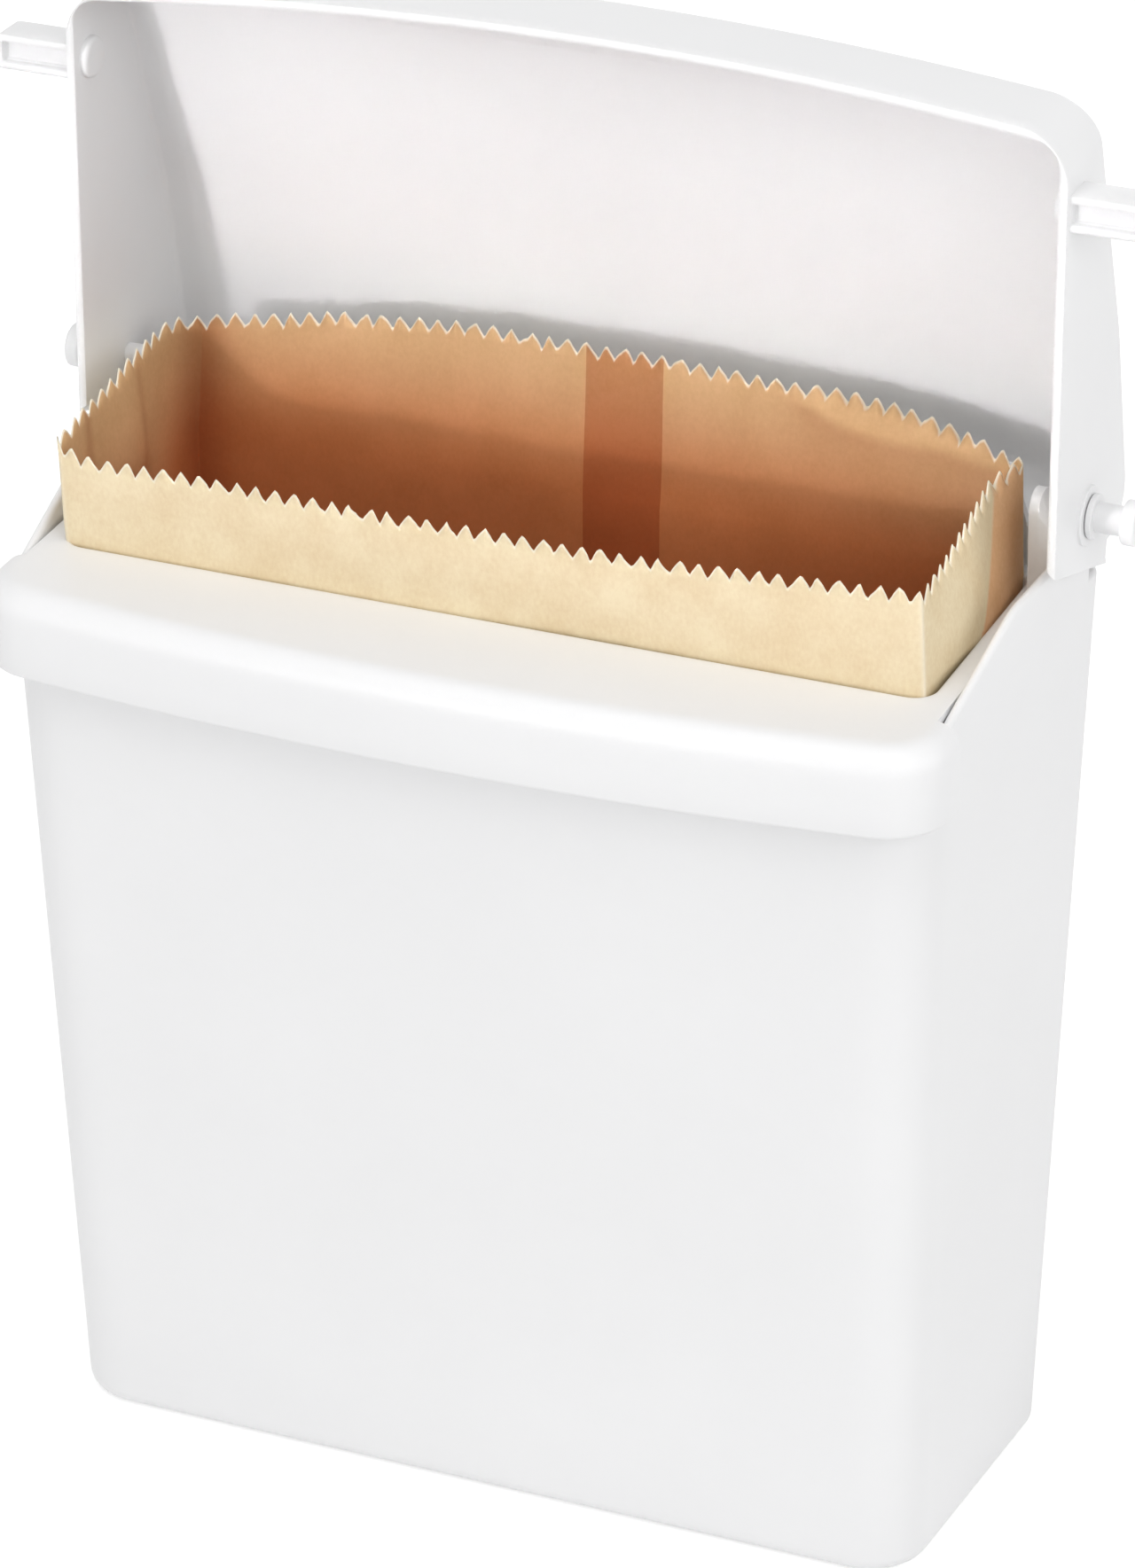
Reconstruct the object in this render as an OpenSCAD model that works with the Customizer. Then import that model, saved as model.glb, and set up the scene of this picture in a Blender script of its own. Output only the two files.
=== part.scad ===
// Washroom disposal bin: tapered bucket, lift-out rigid liner with deck and skirt,
// kraft paper bag, and a hood lid on two side pegs, drawn with the lid open.
// Millimetres, +X right, +Y back, +Z up, origin at the middle of the base on the floor.

/* [Body] */
// Depth of the base on the floor
base_d = 90; // [80:1:105]
// Height of the deck above the floor
deck_h = 256; // [200:1:320]
// Body width at deck height, along the front
rim_front_w = 260; // [220:1:300]
// Widening of the body on each side from its front to its back
rim_flare = 4.25; // [0:0.25:6]
// Narrowing of the body on each side from the deck to the floor
side_draft = 6; // [2:0.25:10]
// Distance the front wall leans out from floor to deck
front_lean = 6; // [2:0.5:12]
// Distance the back wall leans out from floor to deck
back_lean = 22; // [18:0.5:26]
// Forward bow of the front wall at deck height
front_bow = 9; // [2:0.5:14]
// Radius of the upright front corners
front_corner_r = 17; // [10:1:24]
// Radius of the upright back corners
back_corner_r = 7; // [5:0.5:14]
// Drop of the body's front rim below the underside of the deck
rim_seat = 2.6; // [2.4:0.2:4]
// Radius round the lower edge of the body
base_edge_r = 5; // [3:0.5:7]
// Thickness of the body wall
body_wall = 2.6; // [2:0.1:3.5]

/* [Liner] */
// Thickness of the liner wall and deck
liner_wall = 2.4; // [1.8:0.1:3]
// Height of the skirt below the deck
skirt_h = 24; // [15:0.5:35]
// Overhang of the skirt in front of the body
skirt_front_gap = 5; // [4:0.5:8]
// Gap between the skirt and the sides of the body
skirt_side_gap = 0.8; // [0.4:0.1:1.4]
// Radius of the skirt's upright corners
skirt_corner_r = 15; // [12:1:20]
// Length of the skirt's returns along the sides, from its front corners
skirt_return = 21; // [18:1:26]
// Radius of the rounded edge between deck and skirt
deck_edge_r = 7; // [4:0.5:9]
// Height of the upstand behind the bag
upstand_h = 28; // [15:1:34]
// Distance of the upstand behind the pocket
upstand_set = 4; // [3.5:0.5:5]
// Distance of the upstand's ends from the sides of the pocket
upstand_in = 8; // [0:1:30]
// Narrowing of the pocket on each side from deck to floor
pocket_draft = 6; // [4:0.5:9]
// Lean of the pocket's front wall from deck to floor
pocket_front_draft = 2.4; // [1:0.2:4]
// Lean of the pocket's back wall from deck to floor
pocket_back_draft = 9; // [8.4:0.2:10]
// Distance from the body's front wall back to the pocket
pocket_fore = 23.4; // [20:0.2:28]
// Distance from the body's back wall to the pocket
pocket_set = 16; // [12:0.5:18]
// Radius of the pocket's upright corners
pocket_r = 6; // [4:0.5:10]
// Gap between the liner's floor and the body's floor
pocket_lift = 8; // [4:1:20]

/* [Paper bag] */
// Distance of the bag from the body's front corners, on each side
bag_inset = 9.5; // [8.5:0.5:14]
// Height of the bag's front edge above the deck
bag_front_h = 28; // [15:1:30]
// Height of the bag's back edge above the deck
bag_back_h = 35; // [20:1:38]
// Rise of the bag's back edge in the middle
bag_back_crown = 6; // [0:0.5:7]
// Backward bow of that edge
bag_back_bow = 3; // [0:0.5:4]
// Bulge of each side at the bag's top edge
bag_bulge = 2; // [0:0.5:3]
// Thickness of the folded paper wall
bag_wall = 1; // [0.8:0.1:1.5]
// Gap between the bag and the liner's pocket
bag_gap = 0.5; // [0.3:0.1:1]

/* [Lid] */
// Gap between the body's widest place and the sides of the closed lid
lid_side_gap = 1.25; // [1.25:0.25:4]
// Gap between the skirt and the front corners of the closed lid
lid_front_gap = 7.6; // [5:0.2:11]
// Height of the hinge axis above the deck
hinge_up = 22.5; // [20:0.5:26]
// Distance of the hinge axis from the back of the base
hinge_in = 3; // [1:0.5:6]
// Height of the rear of the lid's top above the hinge axis
lid_rear_h = 34; // [32:0.5:38]
// Height of the bend in the lid's top above the hinge axis
lid_bend_h = 25; // [22:0.5:28]
// Distance from the hinge axis forward to that bend
lid_bend_reach = 43; // [30:1:60]
// Height of the front edge of the lid's top above the hinge axis
lid_front_h = 2; // [-1:0.5:4]
// Overlap of the lid rim below the deck
rim_drop = 2.5; // [1.5:0.5:3.5]
// Thickness of the lid wall
lid_wall = 2.5; // [2:0.1:3]
// Narrowing of the lid on each side from rim to top
lid_draft = 0.8; // [0.4:0.1:1]
// Distance the lid's front wall leans out from rim to top
lid_front_lean = 2; // [0:0.5:4]
// Forward bow of the lid's front wall
lid_bow = 8.5; // [3:0.5:12]
// Radius of the lid's front corners
lid_corner_r = 13; // [9:1:18]
// Radius of those corners inside the lid
lid_inner_r = 6; // [4:0.5:10]
// Radius of the edge round the lid's top
lid_edge_r = 4; // [3:0.5:6]
// Radius of the lid's rear edge
lid_rear_r = 14; // [8:1:16]
// Distance from the hinge axis back to the lower rear corners of the lid
lid_rear_foot = 8; // [4:0.5:10]
// Angle that the lid's rear edge leans back
lid_rear_lean = 11.5; // [6:0.5:16]
// Height of the lid's rear lip above the hinge axis
rear_lip_h = 18.5; // [16:0.5:24]
// Angle that the lid stands open
open_angle = 92; // [60:1:95]

/* [Hinge pegs] */
// Radius of the peg's shaft
peg_r = 3; // [2:0.1:3.4]
// Running clearance of the shaft in its bores, on the radius
peg_clear = 0.05; // [0.02:0.01:0.1]
// Radius of the peg's neck outside the lid
neck_r = 4; // [3.5:0.1:4.6]
// Radius of the peg's outer head, and of its washer
peg_head_r = 6; // [5:0.5:7]
// Thickness of the peg's outer head
peg_head_t = 4; // [2:0.5:6]
// Length of the neck between washer and head
peg_neck = 7.4; // [3:0.2:9]
// Thickness of the washer
washer_t = 1.6; // [1:0.1:2.5]
// Gap between the lid's boss and the washer
washer_gap = 0.3; // [0.2:0.05:0.5]
// Radius of the lid's bosses round the bores
boss_r = 8; // [6.5:0.5:9]
// Radius of the lug that holds the peg beside the bag
lug_r = 5.5; // [5:0.25:6]
// Thickness of the lug
lug_t = 2.6; // [2:0.1:3.5]
// Gap between the bag and the lug
lug_gap = 1.2; // [0.8:0.1:1.6]
// Gap between the deck and the foot of the lug
lug_lift = 1.5; // [1:0.1:3]
// Height of the foot that joins the lug to the cheek
lug_foot = 8; // [5:0.5:9]
// Gap between the end of the skirt and the foot of the cheek's shoulder
shoulder_gap = 0.4; // [0.3:0.1:2]
// Distance from the hinge axis forward to the top of the shoulder
knee_d = 36; // [24:1:44]
// Height of the cheek above the deck
cheek_h = 12; // [10:0.5:14]
// Distance from the hinge axis back to the end of the cheek
cheek_back = 13; // [8:0.5:16]
// Height of the lid's bosses above its side walls
lid_boss_h = 0.6; // [0.3:0.1:1]
// Bevel on the small round pieces
bevel = 0.8; // [0.3:0.1:1]

/* [Lift arms] */
// Reach of the arm beside the lid
arm_reach = 22; // [15:1:30]
// Width of the arm along the lid
arm_w = 9.5; // [9:0.5:14]
// Thickness of the arm
arm_t = 13; // [11:0.5:15]
// Thickness of the walls round the channel in the arm's underside
arm_wall = 2; // [1.5:0.25:2.5]
// Depth of that channel
arm_channel = 8; // [4:0.5:9]
// Bevel on the upper edge of the arm's end
arm_bevel = 1.5; // [0.5:0.25:2]
// Distance of the arm from the lid's front corner
arm_back = 15.5; // [14:0.5:26]
// Height of the arm above the lid's rim
arm_up = 2; // [1.5:0.5:4]
// Radius of the arm's stud through the lid wall
stud_r = 3; // [2:0.1:4]
// Radius of the cap on the stud
cap_r = 5.6; // [4.5:0.1:6]
// Thickness of the cap
cap_t = 2.2; // [1.5:0.1:3]

/* [Hidden] */
white = "whitesmoke";
kraft = "burlywood";
$fn = 48;

// Steps along the front and back, round each corner and along each side of an outline
front_steps = 10;
corner_steps = 5;
side_steps = 6;
// Overlap that carries one solid cleanly through another
eps = 0.5;
// Gap between pieces that are pressed against each other
seat_gap = 0.05;

// Widths of the body at the back and at the floor
rim_back_w = rim_front_w + 2*rim_flare;
base_front_w = rim_front_w - 2*side_draft;
base_back_w = rim_back_w - 2*side_draft;
bag_w = rim_front_w - 2*bag_inset;

// Hinge axis
hinge_y = base_d/2 - hinge_in;
hinge_z = deck_h + hinge_up;

// Linear change from the floor to the deck and on above it
function rise(low, high, z) = low + (high - low)*z/deck_h;

// Straight outline with round corners, and a bow pushed out of its front and back edges.
// Points run round from the front edge, and every outline has as many of them.
function corner(cx, cy, r, a) =
  [for (i = [0:corner_steps]) [cx + r*cos(a + 90*i/corner_steps), cy + r*sin(a + 90*i/corner_steps)]];
function run(p, q, steps) = [for (i = [1:steps - 1]) p + (q - p)*i/steps];
function swell(x, half_w) = max(0, 1 - pow(x/half_w, 2));
function outline(front_w, back_w, y_front, y_back, r_front, r_back, bow, back_bow = 0) =
  let (
    fx = front_w/2 - r_front,
    bx = back_w/2 - r_back,
    y_fore = y_front + r_front,
    y_aft = y_back - r_back,
    right_front = corner(fx, y_fore, r_front, -90),
    right_back = corner(bx, y_aft, r_back, 0),
    left_back = corner(-bx, y_aft, r_back, 90),
    left_front = corner(-fx, y_fore, r_front, 180),
    points = concat(
      run([-fx, y_front], [fx, y_front], front_steps), right_front,
      run([front_w/2, y_fore], [back_w/2, y_aft], side_steps), right_back,
      run([bx, y_back], [-bx, y_back], front_steps), left_back,
      run([-back_w/2, y_aft], [-front_w/2, y_fore], side_steps), left_front)
  )
  [for (p = points)
    p.y < y_fore ? [p.x, p.y - bow*swell(p.x, front_w/2)] :
    p.y > y_aft ? [p.x, p.y + back_bow*swell(p.x, back_w/2)] : p];

// Solid through a stack of rings, each a list of points in space, with fans to their middles at both ends
function middle(ring) = [for (k = [0:2]) let (all = [for (p = ring) p[k]]) (max(all) + min(all))/2];
module loft(rings) {
  n = len(rings[0]);
  last = len(rings) - 1;
  low = (last + 1)*n;
  high = low + 1;
  sides = [for (k = [0:last - 1], i = [0:n - 1], half = [0, 1])
    let (j = (i + 1)%n, a = k*n + i, b = k*n + j, c = b + n, d = a + n)
    half == 0 ? [a, d, c] : [a, c, b]];
  ends = [for (i = [0:n - 1], half = [0, 1])
    let (j = (i + 1)%n)
    half == 0 ? [low, i, j] : [high, last*n + j, last*n + i]];
  polyhedron(
    points = concat([for (ring = rings, p = ring) p], [middle(rings[0]), middle(rings[last])]),
    faces = concat(sides, ends));
}
function level(points, z) = [for (p = points) [p.x, p.y, z]];

// Body outline at height z, drawn in by inset
function body_front(z) = rise(-base_d/2, -base_d/2 - front_lean, z);
function body_back(z) = rise(base_d/2, base_d/2 + back_lean, z);
function body_outline(z, inset) = outline(
  rise(base_front_w, rim_front_w, z) - 2*inset, rise(base_back_w, rim_back_w, z) - 2*inset,
  body_front(z) + inset, body_back(z) - inset,
  front_corner_r - inset, back_corner_r - inset, rise(0, front_bow, z));
// Half width of the body's side at height z and depth y
function body_side(z, y) =
  let (t = (y - body_front(z))/(body_back(z) - body_front(z)))
  (rise(base_front_w, rim_front_w, z)*(1 - t) + rise(base_back_w, rim_back_w, z)*t)/2;

cheek_top = deck_h + cheek_h;
body_rim = deck_h - liner_wall;

// Front of the liner's skirt and the ends of its returns along the sides
skirt_front = body_front(deck_h) - skirt_front_gap - liner_wall;
skirt_back = skirt_front + skirt_return;

// Side view of everything above the body's rim: the cheeks with their sloping shoulders are left standing
shoulder_foot = skirt_back + shoulder_gap;
function above_rim() =
  let (far = base_d + back_lean, low = body_rim - rim_seat, high = cheek_top + 2*eps)
  [[-far, low], [shoulder_foot, low], [shoulder_foot, body_rim], [hinge_y - knee_d, cheek_top - eps],
   [hinge_y, cheek_top], [hinge_y + cheek_back - eps, cheek_top], [hinge_y + cheek_back, cheek_top - eps],
   [hinge_y + cheek_back, body_rim], [far, body_rim], [far, high], [-far, high]];

// Solid of a side view, a list of [y, z] points, carried across the given width
module across(points, w) {
  rotate([90, 0, 90]) linear_extrude(w, center = true) polygon(points);
}
// Round bar along the hinge axis between two x places
module along_hinge(r, x0, x1) {
  translate([x0, hinge_y, hinge_z]) rotate([0, 90, 0]) cylinder(r = r, h = x1 - x0);
}
module both_sides() {
  children();
  mirror([1, 0, 0]) children();
}

// Lug beside the bag that holds a peg, with a foot that joins it to the cheek
lug_x = bag_w/2 + bag_bulge + lug_gap;
module lug() {
  low = deck_h + lug_lift;
  along_hinge(lug_r, lug_x, lug_x + lug_t);
  translate([lug_x, hinge_y - lug_r, low]) cube([lug_t, 2*lug_r, hinge_z - low]);
  translate([lug_x, hinge_y - lug_r, low])
    cube([body_side(low, hinge_y - lug_r) - body_wall/2 - lug_x, 2*lug_r, lug_foot]);
}

module body_shell() {
  base_rings = [for (a = [0:30:90])
    level(body_outline(base_edge_r*(1 - cos(a)), base_edge_r*(1 - sin(a))), base_edge_r*(1 - cos(a)))];
  color(white) difference() {
    union() {
      difference() {
        loft(concat(base_rings, [level(body_outline(cheek_top + eps, 0), cheek_top + eps)]));
        loft([for (z = [body_wall, cheek_top + 2*eps]) level(body_outline(z, body_wall), z)]);
        across(above_rim(), 2*rim_back_w);
      }
      both_sides() lug();
    }
    both_sides() along_hinge(peg_r + peg_clear, lug_x - eps, lid_w/2);
  }
}

// Liner: deck and skirt outside, pocket for the bag inside
pocket_w = bag_w + 2*bag_gap;
pocket_back = body_back(deck_h) - body_wall - pocket_set;
pocket_front = body_front(deck_h) + pocket_fore;
pocket_floor = body_wall + pocket_lift;
// Pocket outline at height z, grown outwards; the pocket narrows towards its floor
function pocket_outline(z, grow) =
  let (t = max(0, 1 - z/deck_h), w = pocket_w - 2*pocket_draft*t + 2*grow)
  outline(w, w, pocket_front + pocket_front_draft*t - grow, pocket_back - pocket_back_draft*t + grow,
    pocket_r + grow, pocket_r + grow, 0);

skirt_w = rim_front_w + 2*(skirt_side_gap + liner_wall);
deck_back = body_back(body_rim) - body_wall - bag_gap;
// Form of the deck and skirt, drawn in by inset; it runs on behind the deck, where it is cut away
skirt_far = deck_back + 2*skirt_corner_r;
function skirt_outline(inset) =
  let (w = skirt_w - 2*inset)
  outline(w, w, skirt_front + inset, skirt_far, max(skirt_corner_r - inset, 1), 1, front_bow);
module skirt_form(inset, bottom, top) {
  r = max(deck_edge_r - inset, 1);
  loft(concat([level(skirt_outline(inset), bottom)],
    [for (a = [0:22.5:90]) level(skirt_outline(inset + r*(1 - cos(a))), top - r*(1 - sin(a)))]));
}
// Half width left between the cheeks for the deck behind the skirt
deck_between = body_side(deck_h, skirt_back) - body_wall - 2*bag_gap;
module rigid_liner() {
  color(white) difference() {
    union() {
      difference() {
        skirt_form(0, deck_h - skirt_h, deck_h);
        skirt_form(liner_wall, deck_h - skirt_h - eps, deck_h - liner_wall);
        both_sides() translate([deck_between, skirt_back, 0])
          cube([skirt_w, skirt_far - skirt_back, 2*deck_h]);
        translate([-skirt_w, deck_back, 0]) cube([2*skirt_w, skirt_far, 2*deck_h]);
      }
      loft([for (z = [pocket_floor, deck_h - liner_wall/2]) level(pocket_outline(z, liner_wall), z)]);
      translate([upstand_in - pocket_w/2, pocket_back + upstand_set, deck_h - liner_wall/2])
        cube([pocket_w - 2*upstand_in, liner_wall, upstand_h + liner_wall/2]);
    }
    loft([for (z = [pocket_floor + liner_wall, deck_h + eps]) level(pocket_outline(z, 0), z)]);
  }
}

// Bag: straight in the pocket, bulging a little above the deck, with a sloping top edge
bag_front = pocket_front + bag_gap;
bag_d = pocket_back - bag_gap - bag_front;
bag_floor = pocket_floor + liner_wall + bag_gap;
function bag_ring(inset) =
  let (w = bag_w + 2*bag_bulge - 2*inset, r = pocket_r - bag_gap - inset)
  outline(w, w, bag_front + inset, bag_front + bag_d - inset, r, r, 0, bag_back_bow);
function bag_top(p) =
  let (t = (p.y - bag_front)/bag_d)
  deck_h + bag_front_h + (bag_back_h - bag_front_h + bag_back_crown*swell(p.x, bag_w/2))*t;
module bag_form(inset, low, lift) {
  loft(concat(
    [for (z = [low, deck_h]) level(pocket_outline(z, -bag_gap - inset), z)],
    [[for (p = bag_ring(inset)) [p.x, p.y, bag_top(p) + lift]]]));
}
module paper_bag() {
  color(kraft) difference() {
    bag_form(0, bag_floor, 0);
    bag_form(bag_wall, bag_floor + bag_wall, eps);
  }
}

// Lid, drawn shut and then swung open about the hinge axis
lid_rim = deck_h - rim_drop;
lid_w = rim_back_w + 2*(lid_side_gap + lid_wall);
lid_front = skirt_front - lid_front_gap - lid_wall;
lid_reach = hinge_y - lid_front;
lid_far = hinge_y + lid_rear_h + lid_rear_r;
lid_bend_y = hinge_y - lid_bend_reach;
lid_rear_z = hinge_z + lid_rear_h;
lid_bend_z = hinge_z + lid_bend_h;
lid_front_z = hinge_z + lid_front_h;
// Height of the lid's top at depth y: two straight falls that meet at the bend
function lid_top(y) = y > lid_bend_y
  ? lid_bend_z + (lid_rear_z - lid_bend_z)*(y - lid_bend_y)/lid_bend_reach
  : lid_bend_z + (lid_front_z - lid_bend_z)*(max(y, lid_front) - lid_bend_y)/(lid_front - lid_bend_y);
function lid_outline(inset, lean, r) =
  let (w = lid_w - 2*inset)
  outline(w, w, lid_front + inset - lean, lid_far, max(r, 1), 1, lid_bow, lid_bow);
// Ring at a share t of the height from the rim to the top, lowered by drop below the top
function lid_ring(inset, t, drop, rim, r) =
  [for (p = lid_outline(inset, lid_front_lean*t, r)) [p.x, p.y, rim + (lid_top(p.y) - drop - rim)*t]];
// Hood closed on top by strips between matching points of its left and right sides
module hood(inset, drop, rim, corner_r) {
  r = max(lid_edge_r - inset, 1);
  rings = concat([lid_ring(inset, 0, 0, rim, corner_r)],
    [for (a = [0:30:90])
      let (more = lid_draft + r*(1 - cos(a)))
      lid_ring(inset + more, 1, drop + r*(1 - sin(a)), rim, corner_r - more)]);
  n = len(rings[0]);
  last = len(rings) - 1;
  sides = [for (k = [0:last - 1], i = [0:n - 1], half = [0, 1])
    let (j = (i + 1)%n, a = k*n + i, b = k*n + j, c = b + n, d = a + n)
    half == 0 ? [a, d, c] : [a, c, b]];
  // The front edge's middle point is number front_steps/2 - 1, and the sides pair up from there
  mid = front_steps/2 - 1;
  pairs = floor(n/2);
  strips = [for (i = [0:pairs - 1], half = [0, 1])
    let (
      r0 = last*n + (mid + i)%n, l0 = last*n + (mid - i + n)%n,
      r1 = last*n + (mid + i + 1)%n, l1 = last*n + (mid - i - 1 + 2*n)%n
    )
    half == 0 ? [l0, l1, r1] : [l0, r1, r0]];
  cap = [for (f = strips) if (f[0] != f[1] && f[1] != f[2] && f[0] != f[2]) f];
  polyhedron(
    points = [for (ring = rings, p = ring) p],
    faces = concat([[for (i = [0:n - 1]) i]], sides, cap));
}
// Side view of the lid's rear: a leaning edge that rounds into the top, drawn in by inset
rear_steps = 10;
function cross2(a, b) = a.x*b.y - a.y*b.x;
module rear_view(inset) {
  r = lid_rear_r - inset;
  rise_a = atan((lid_rear_z - lid_bend_z)/lid_bend_reach);
  along_top = [cos(rise_a), sin(rise_a)];
  up_rear = [sin(lid_rear_lean), cos(lid_rear_lean)];
  top_in = [hinge_y, lid_rear_z] + lid_rear_r*[sin(rise_a), -cos(rise_a)];
  rear_in = [hinge_y + lid_rear_foot, lid_rim] + lid_rear_r*[-cos(lid_rear_lean), sin(lid_rear_lean)];
  middle = top_in + along_top*cross2(rear_in - top_in, up_rear)/cross2(along_top, up_rear);
  foot = middle + r*[cos(lid_rear_lean), -sin(lid_rear_lean)] - up_rear*lid_reach;
  arc = [for (i = [0:rear_steps])
    let (a = -lid_rear_lean + (90 + lid_rear_lean + rise_a)*i/rear_steps) middle + r*[cos(a), sin(a)]];
  far = lid_front - lid_reach;
  high = lid_rear_z + lid_reach;
  across(concat([foot], arc, [[middle.x, high], [far, high], [far, foot.y]]), 2*lid_w);
}
// Place of the arms along the lid and above its rim
arm_y = lid_front + arm_back + arm_w/2;
arm_z = lid_rim + arm_up + arm_t/2;
// Half width of the lid's outer face at height z above the floor, level with the front of the caps
function lid_half(z) =
  let (height = lid_top(arm_y - cap_r) - lid_edge_r - lid_rim)
  lid_w/2 - lid_draft*(z - lid_rim)/height;
lid_boss_x = lid_w/2 + lid_boss_h;

module swung() {
  translate([0, hinge_y, hinge_z]) rotate([-open_angle, 0, 0])
    translate([0, -hinge_y, -hinge_z]) children();
}
module along_stud(r, x0, x1) {
  translate([x0, arm_y, arm_z]) rotate([0, 90, 0]) cylinder(r = r, h = x1 - x0);
}
module lid_shell() {
  inner_half = lid_w/2 - lid_wall;
  color(white) swung() difference() {
    union() {
      difference() {
        intersection() {
          hood(0, 0, lid_rim, lid_corner_r);
          rear_view(0);
        }
        intersection() {
          hood(lid_wall, lid_wall, lid_rim - eps, lid_inner_r);
          rear_view(lid_wall);
        }
        translate([-inner_half, hinge_y, lid_rim - eps])
          cube([2*inner_half, lid_reach, hinge_z + rear_lip_h - lid_rim + eps]);
      }
      both_sides() along_hinge(boss_r, lid_w/2 - lid_wall/2, lid_boss_x);
    }
    both_sides() along_hinge(peg_r + peg_clear, hinge_y, lid_w);
    both_sides() along_stud(stud_r + peg_clear, hinge_y, lid_w);
  }
}

// Right-hand pieces; the left ones are their mirror images
module lift_arm() {
  x0 = lid_half(arm_z - arm_t/2) + seat_gap;
  x1 = x0 + arm_reach;
  low = arm_z - arm_t/2;
  high = arm_z + arm_t/2;
  bar = [[x0, low], [x1, low], [x1, high - arm_bevel], [x1 - arm_bevel, high], [x0, high]];
  difference() {
    translate([0, arm_y + arm_w/2, 0]) rotate([90, 0, 0]) linear_extrude(arm_w) polygon(bar);
    translate([x0 + arm_wall, arm_y - arm_w/2 + arm_wall, low - eps])
      cube([arm_reach - 2*arm_wall, arm_w - 2*arm_wall, arm_channel + eps]);
  }
  along_stud(stud_r, lid_w/2 - lid_wall - cap_t, x0 + eps);
}
module arm_cap() {
  x1 = lid_half(arm_z + cap_r) - lid_wall - seat_gap;
  translate([x1, arm_y, arm_z]) rotate([0, -90, 0]) rotate_extrude()
    polygon([[stud_r + peg_clear, 0], [cap_r, 0], [cap_r, cap_t - bevel], [cap_r - bevel, cap_t],
      [stud_r + peg_clear, cap_t]]);
}
washer_x = lid_boss_x + washer_gap;
module hinge_pin() {
  neck = washer_x + washer_t;
  head = neck + peg_neck;
  end = head + peg_head_t;
  translate([0, hinge_y, hinge_z]) rotate([0, 90, 0]) rotate_extrude()
    polygon([[0, lug_x], [peg_r - bevel/2, lug_x], [peg_r, lug_x + bevel/2], [peg_r, neck], [neck_r, neck],
      [neck_r, head], [peg_head_r, head], [peg_head_r, end - bevel], [peg_head_r - bevel, end], [0, end]]);
}
module hinge_washer() {
  translate([washer_x, hinge_y, hinge_z]) rotate([0, 90, 0]) rotate_extrude()
    polygon([[peg_r + peg_clear, 0], [peg_head_r, 0], [peg_head_r, washer_t - bevel/2],
      [peg_head_r - bevel/2, washer_t], [peg_r + peg_clear, washer_t]]);
}

module lift_arm_right() { color(white) swung() lift_arm(); }
module lift_arm_left() { color(white) swung() mirror([1, 0, 0]) lift_arm(); }
module arm_cap_right() { color(white) swung() arm_cap(); }
module arm_cap_left() { color(white) swung() mirror([1, 0, 0]) arm_cap(); }
module hinge_pin_right() { color(white) hinge_pin(); }
module hinge_pin_left() { color(white) mirror([1, 0, 0]) hinge_pin(); }
module hinge_washer_right() { color(white) hinge_washer(); }
module hinge_washer_left() { color(white) mirror([1, 0, 0]) hinge_washer(); }

body_shell();
rigid_liner();
paper_bag();
lid_shell();
lift_arm_left();
lift_arm_right();
arm_cap_left();
arm_cap_right();
hinge_pin_left();
hinge_pin_right();
hinge_washer_left();
hinge_washer_right();
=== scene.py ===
import math
import bmesh
import bpy
import numpy as np
from mathutils import Matrix, Vector


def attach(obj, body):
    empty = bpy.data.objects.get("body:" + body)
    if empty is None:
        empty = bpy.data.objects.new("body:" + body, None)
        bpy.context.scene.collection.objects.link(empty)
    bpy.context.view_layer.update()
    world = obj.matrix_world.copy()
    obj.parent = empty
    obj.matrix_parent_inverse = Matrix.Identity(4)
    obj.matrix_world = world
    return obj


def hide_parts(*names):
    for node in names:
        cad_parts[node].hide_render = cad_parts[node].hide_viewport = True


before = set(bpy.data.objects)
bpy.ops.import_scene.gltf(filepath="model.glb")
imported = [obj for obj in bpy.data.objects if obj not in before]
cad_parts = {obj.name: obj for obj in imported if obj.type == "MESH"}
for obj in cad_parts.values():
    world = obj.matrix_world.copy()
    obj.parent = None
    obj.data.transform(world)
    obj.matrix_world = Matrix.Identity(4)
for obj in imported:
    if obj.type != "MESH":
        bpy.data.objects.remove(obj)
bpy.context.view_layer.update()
mm = 0.001

# Bucket
# The tall outer bucket is one injection moulding in white polypropylene, with draft on every wall so that
# it leaves its mould. Its sides rise above the deck as cheeks, and lugs inside them hold the lid's pegs.
deck_h = 256*mm
rim_front_half, rim_back_half = 130*mm, 134.25*mm
side_draft = 6*mm
base_half_d = 45*mm
front_lean, back_lean, front_bow = 6*mm, 22*mm, 9*mm
bucket_front_r, bucket_back_r = 17*mm, 7*mm
base_edge_r = 5*mm
bucket_wall = 2.6*mm
rim_seat = 2.6*mm
liner_wall = 2.4*mm
cheek_h = 12*mm
hinge_y, hinge_z = 42*mm, 278.5*mm
edge_steps, corner_steps = 48, 10


def arc(cx, cy, r, start):
    """Quarter circle in plan, from the start angle in degrees."""
    a = np.radians(start + 90*np.arange(corner_steps + 1)/corner_steps)
    return np.column_stack((cx + r*np.cos(a), cy + r*np.sin(a)))


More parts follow.
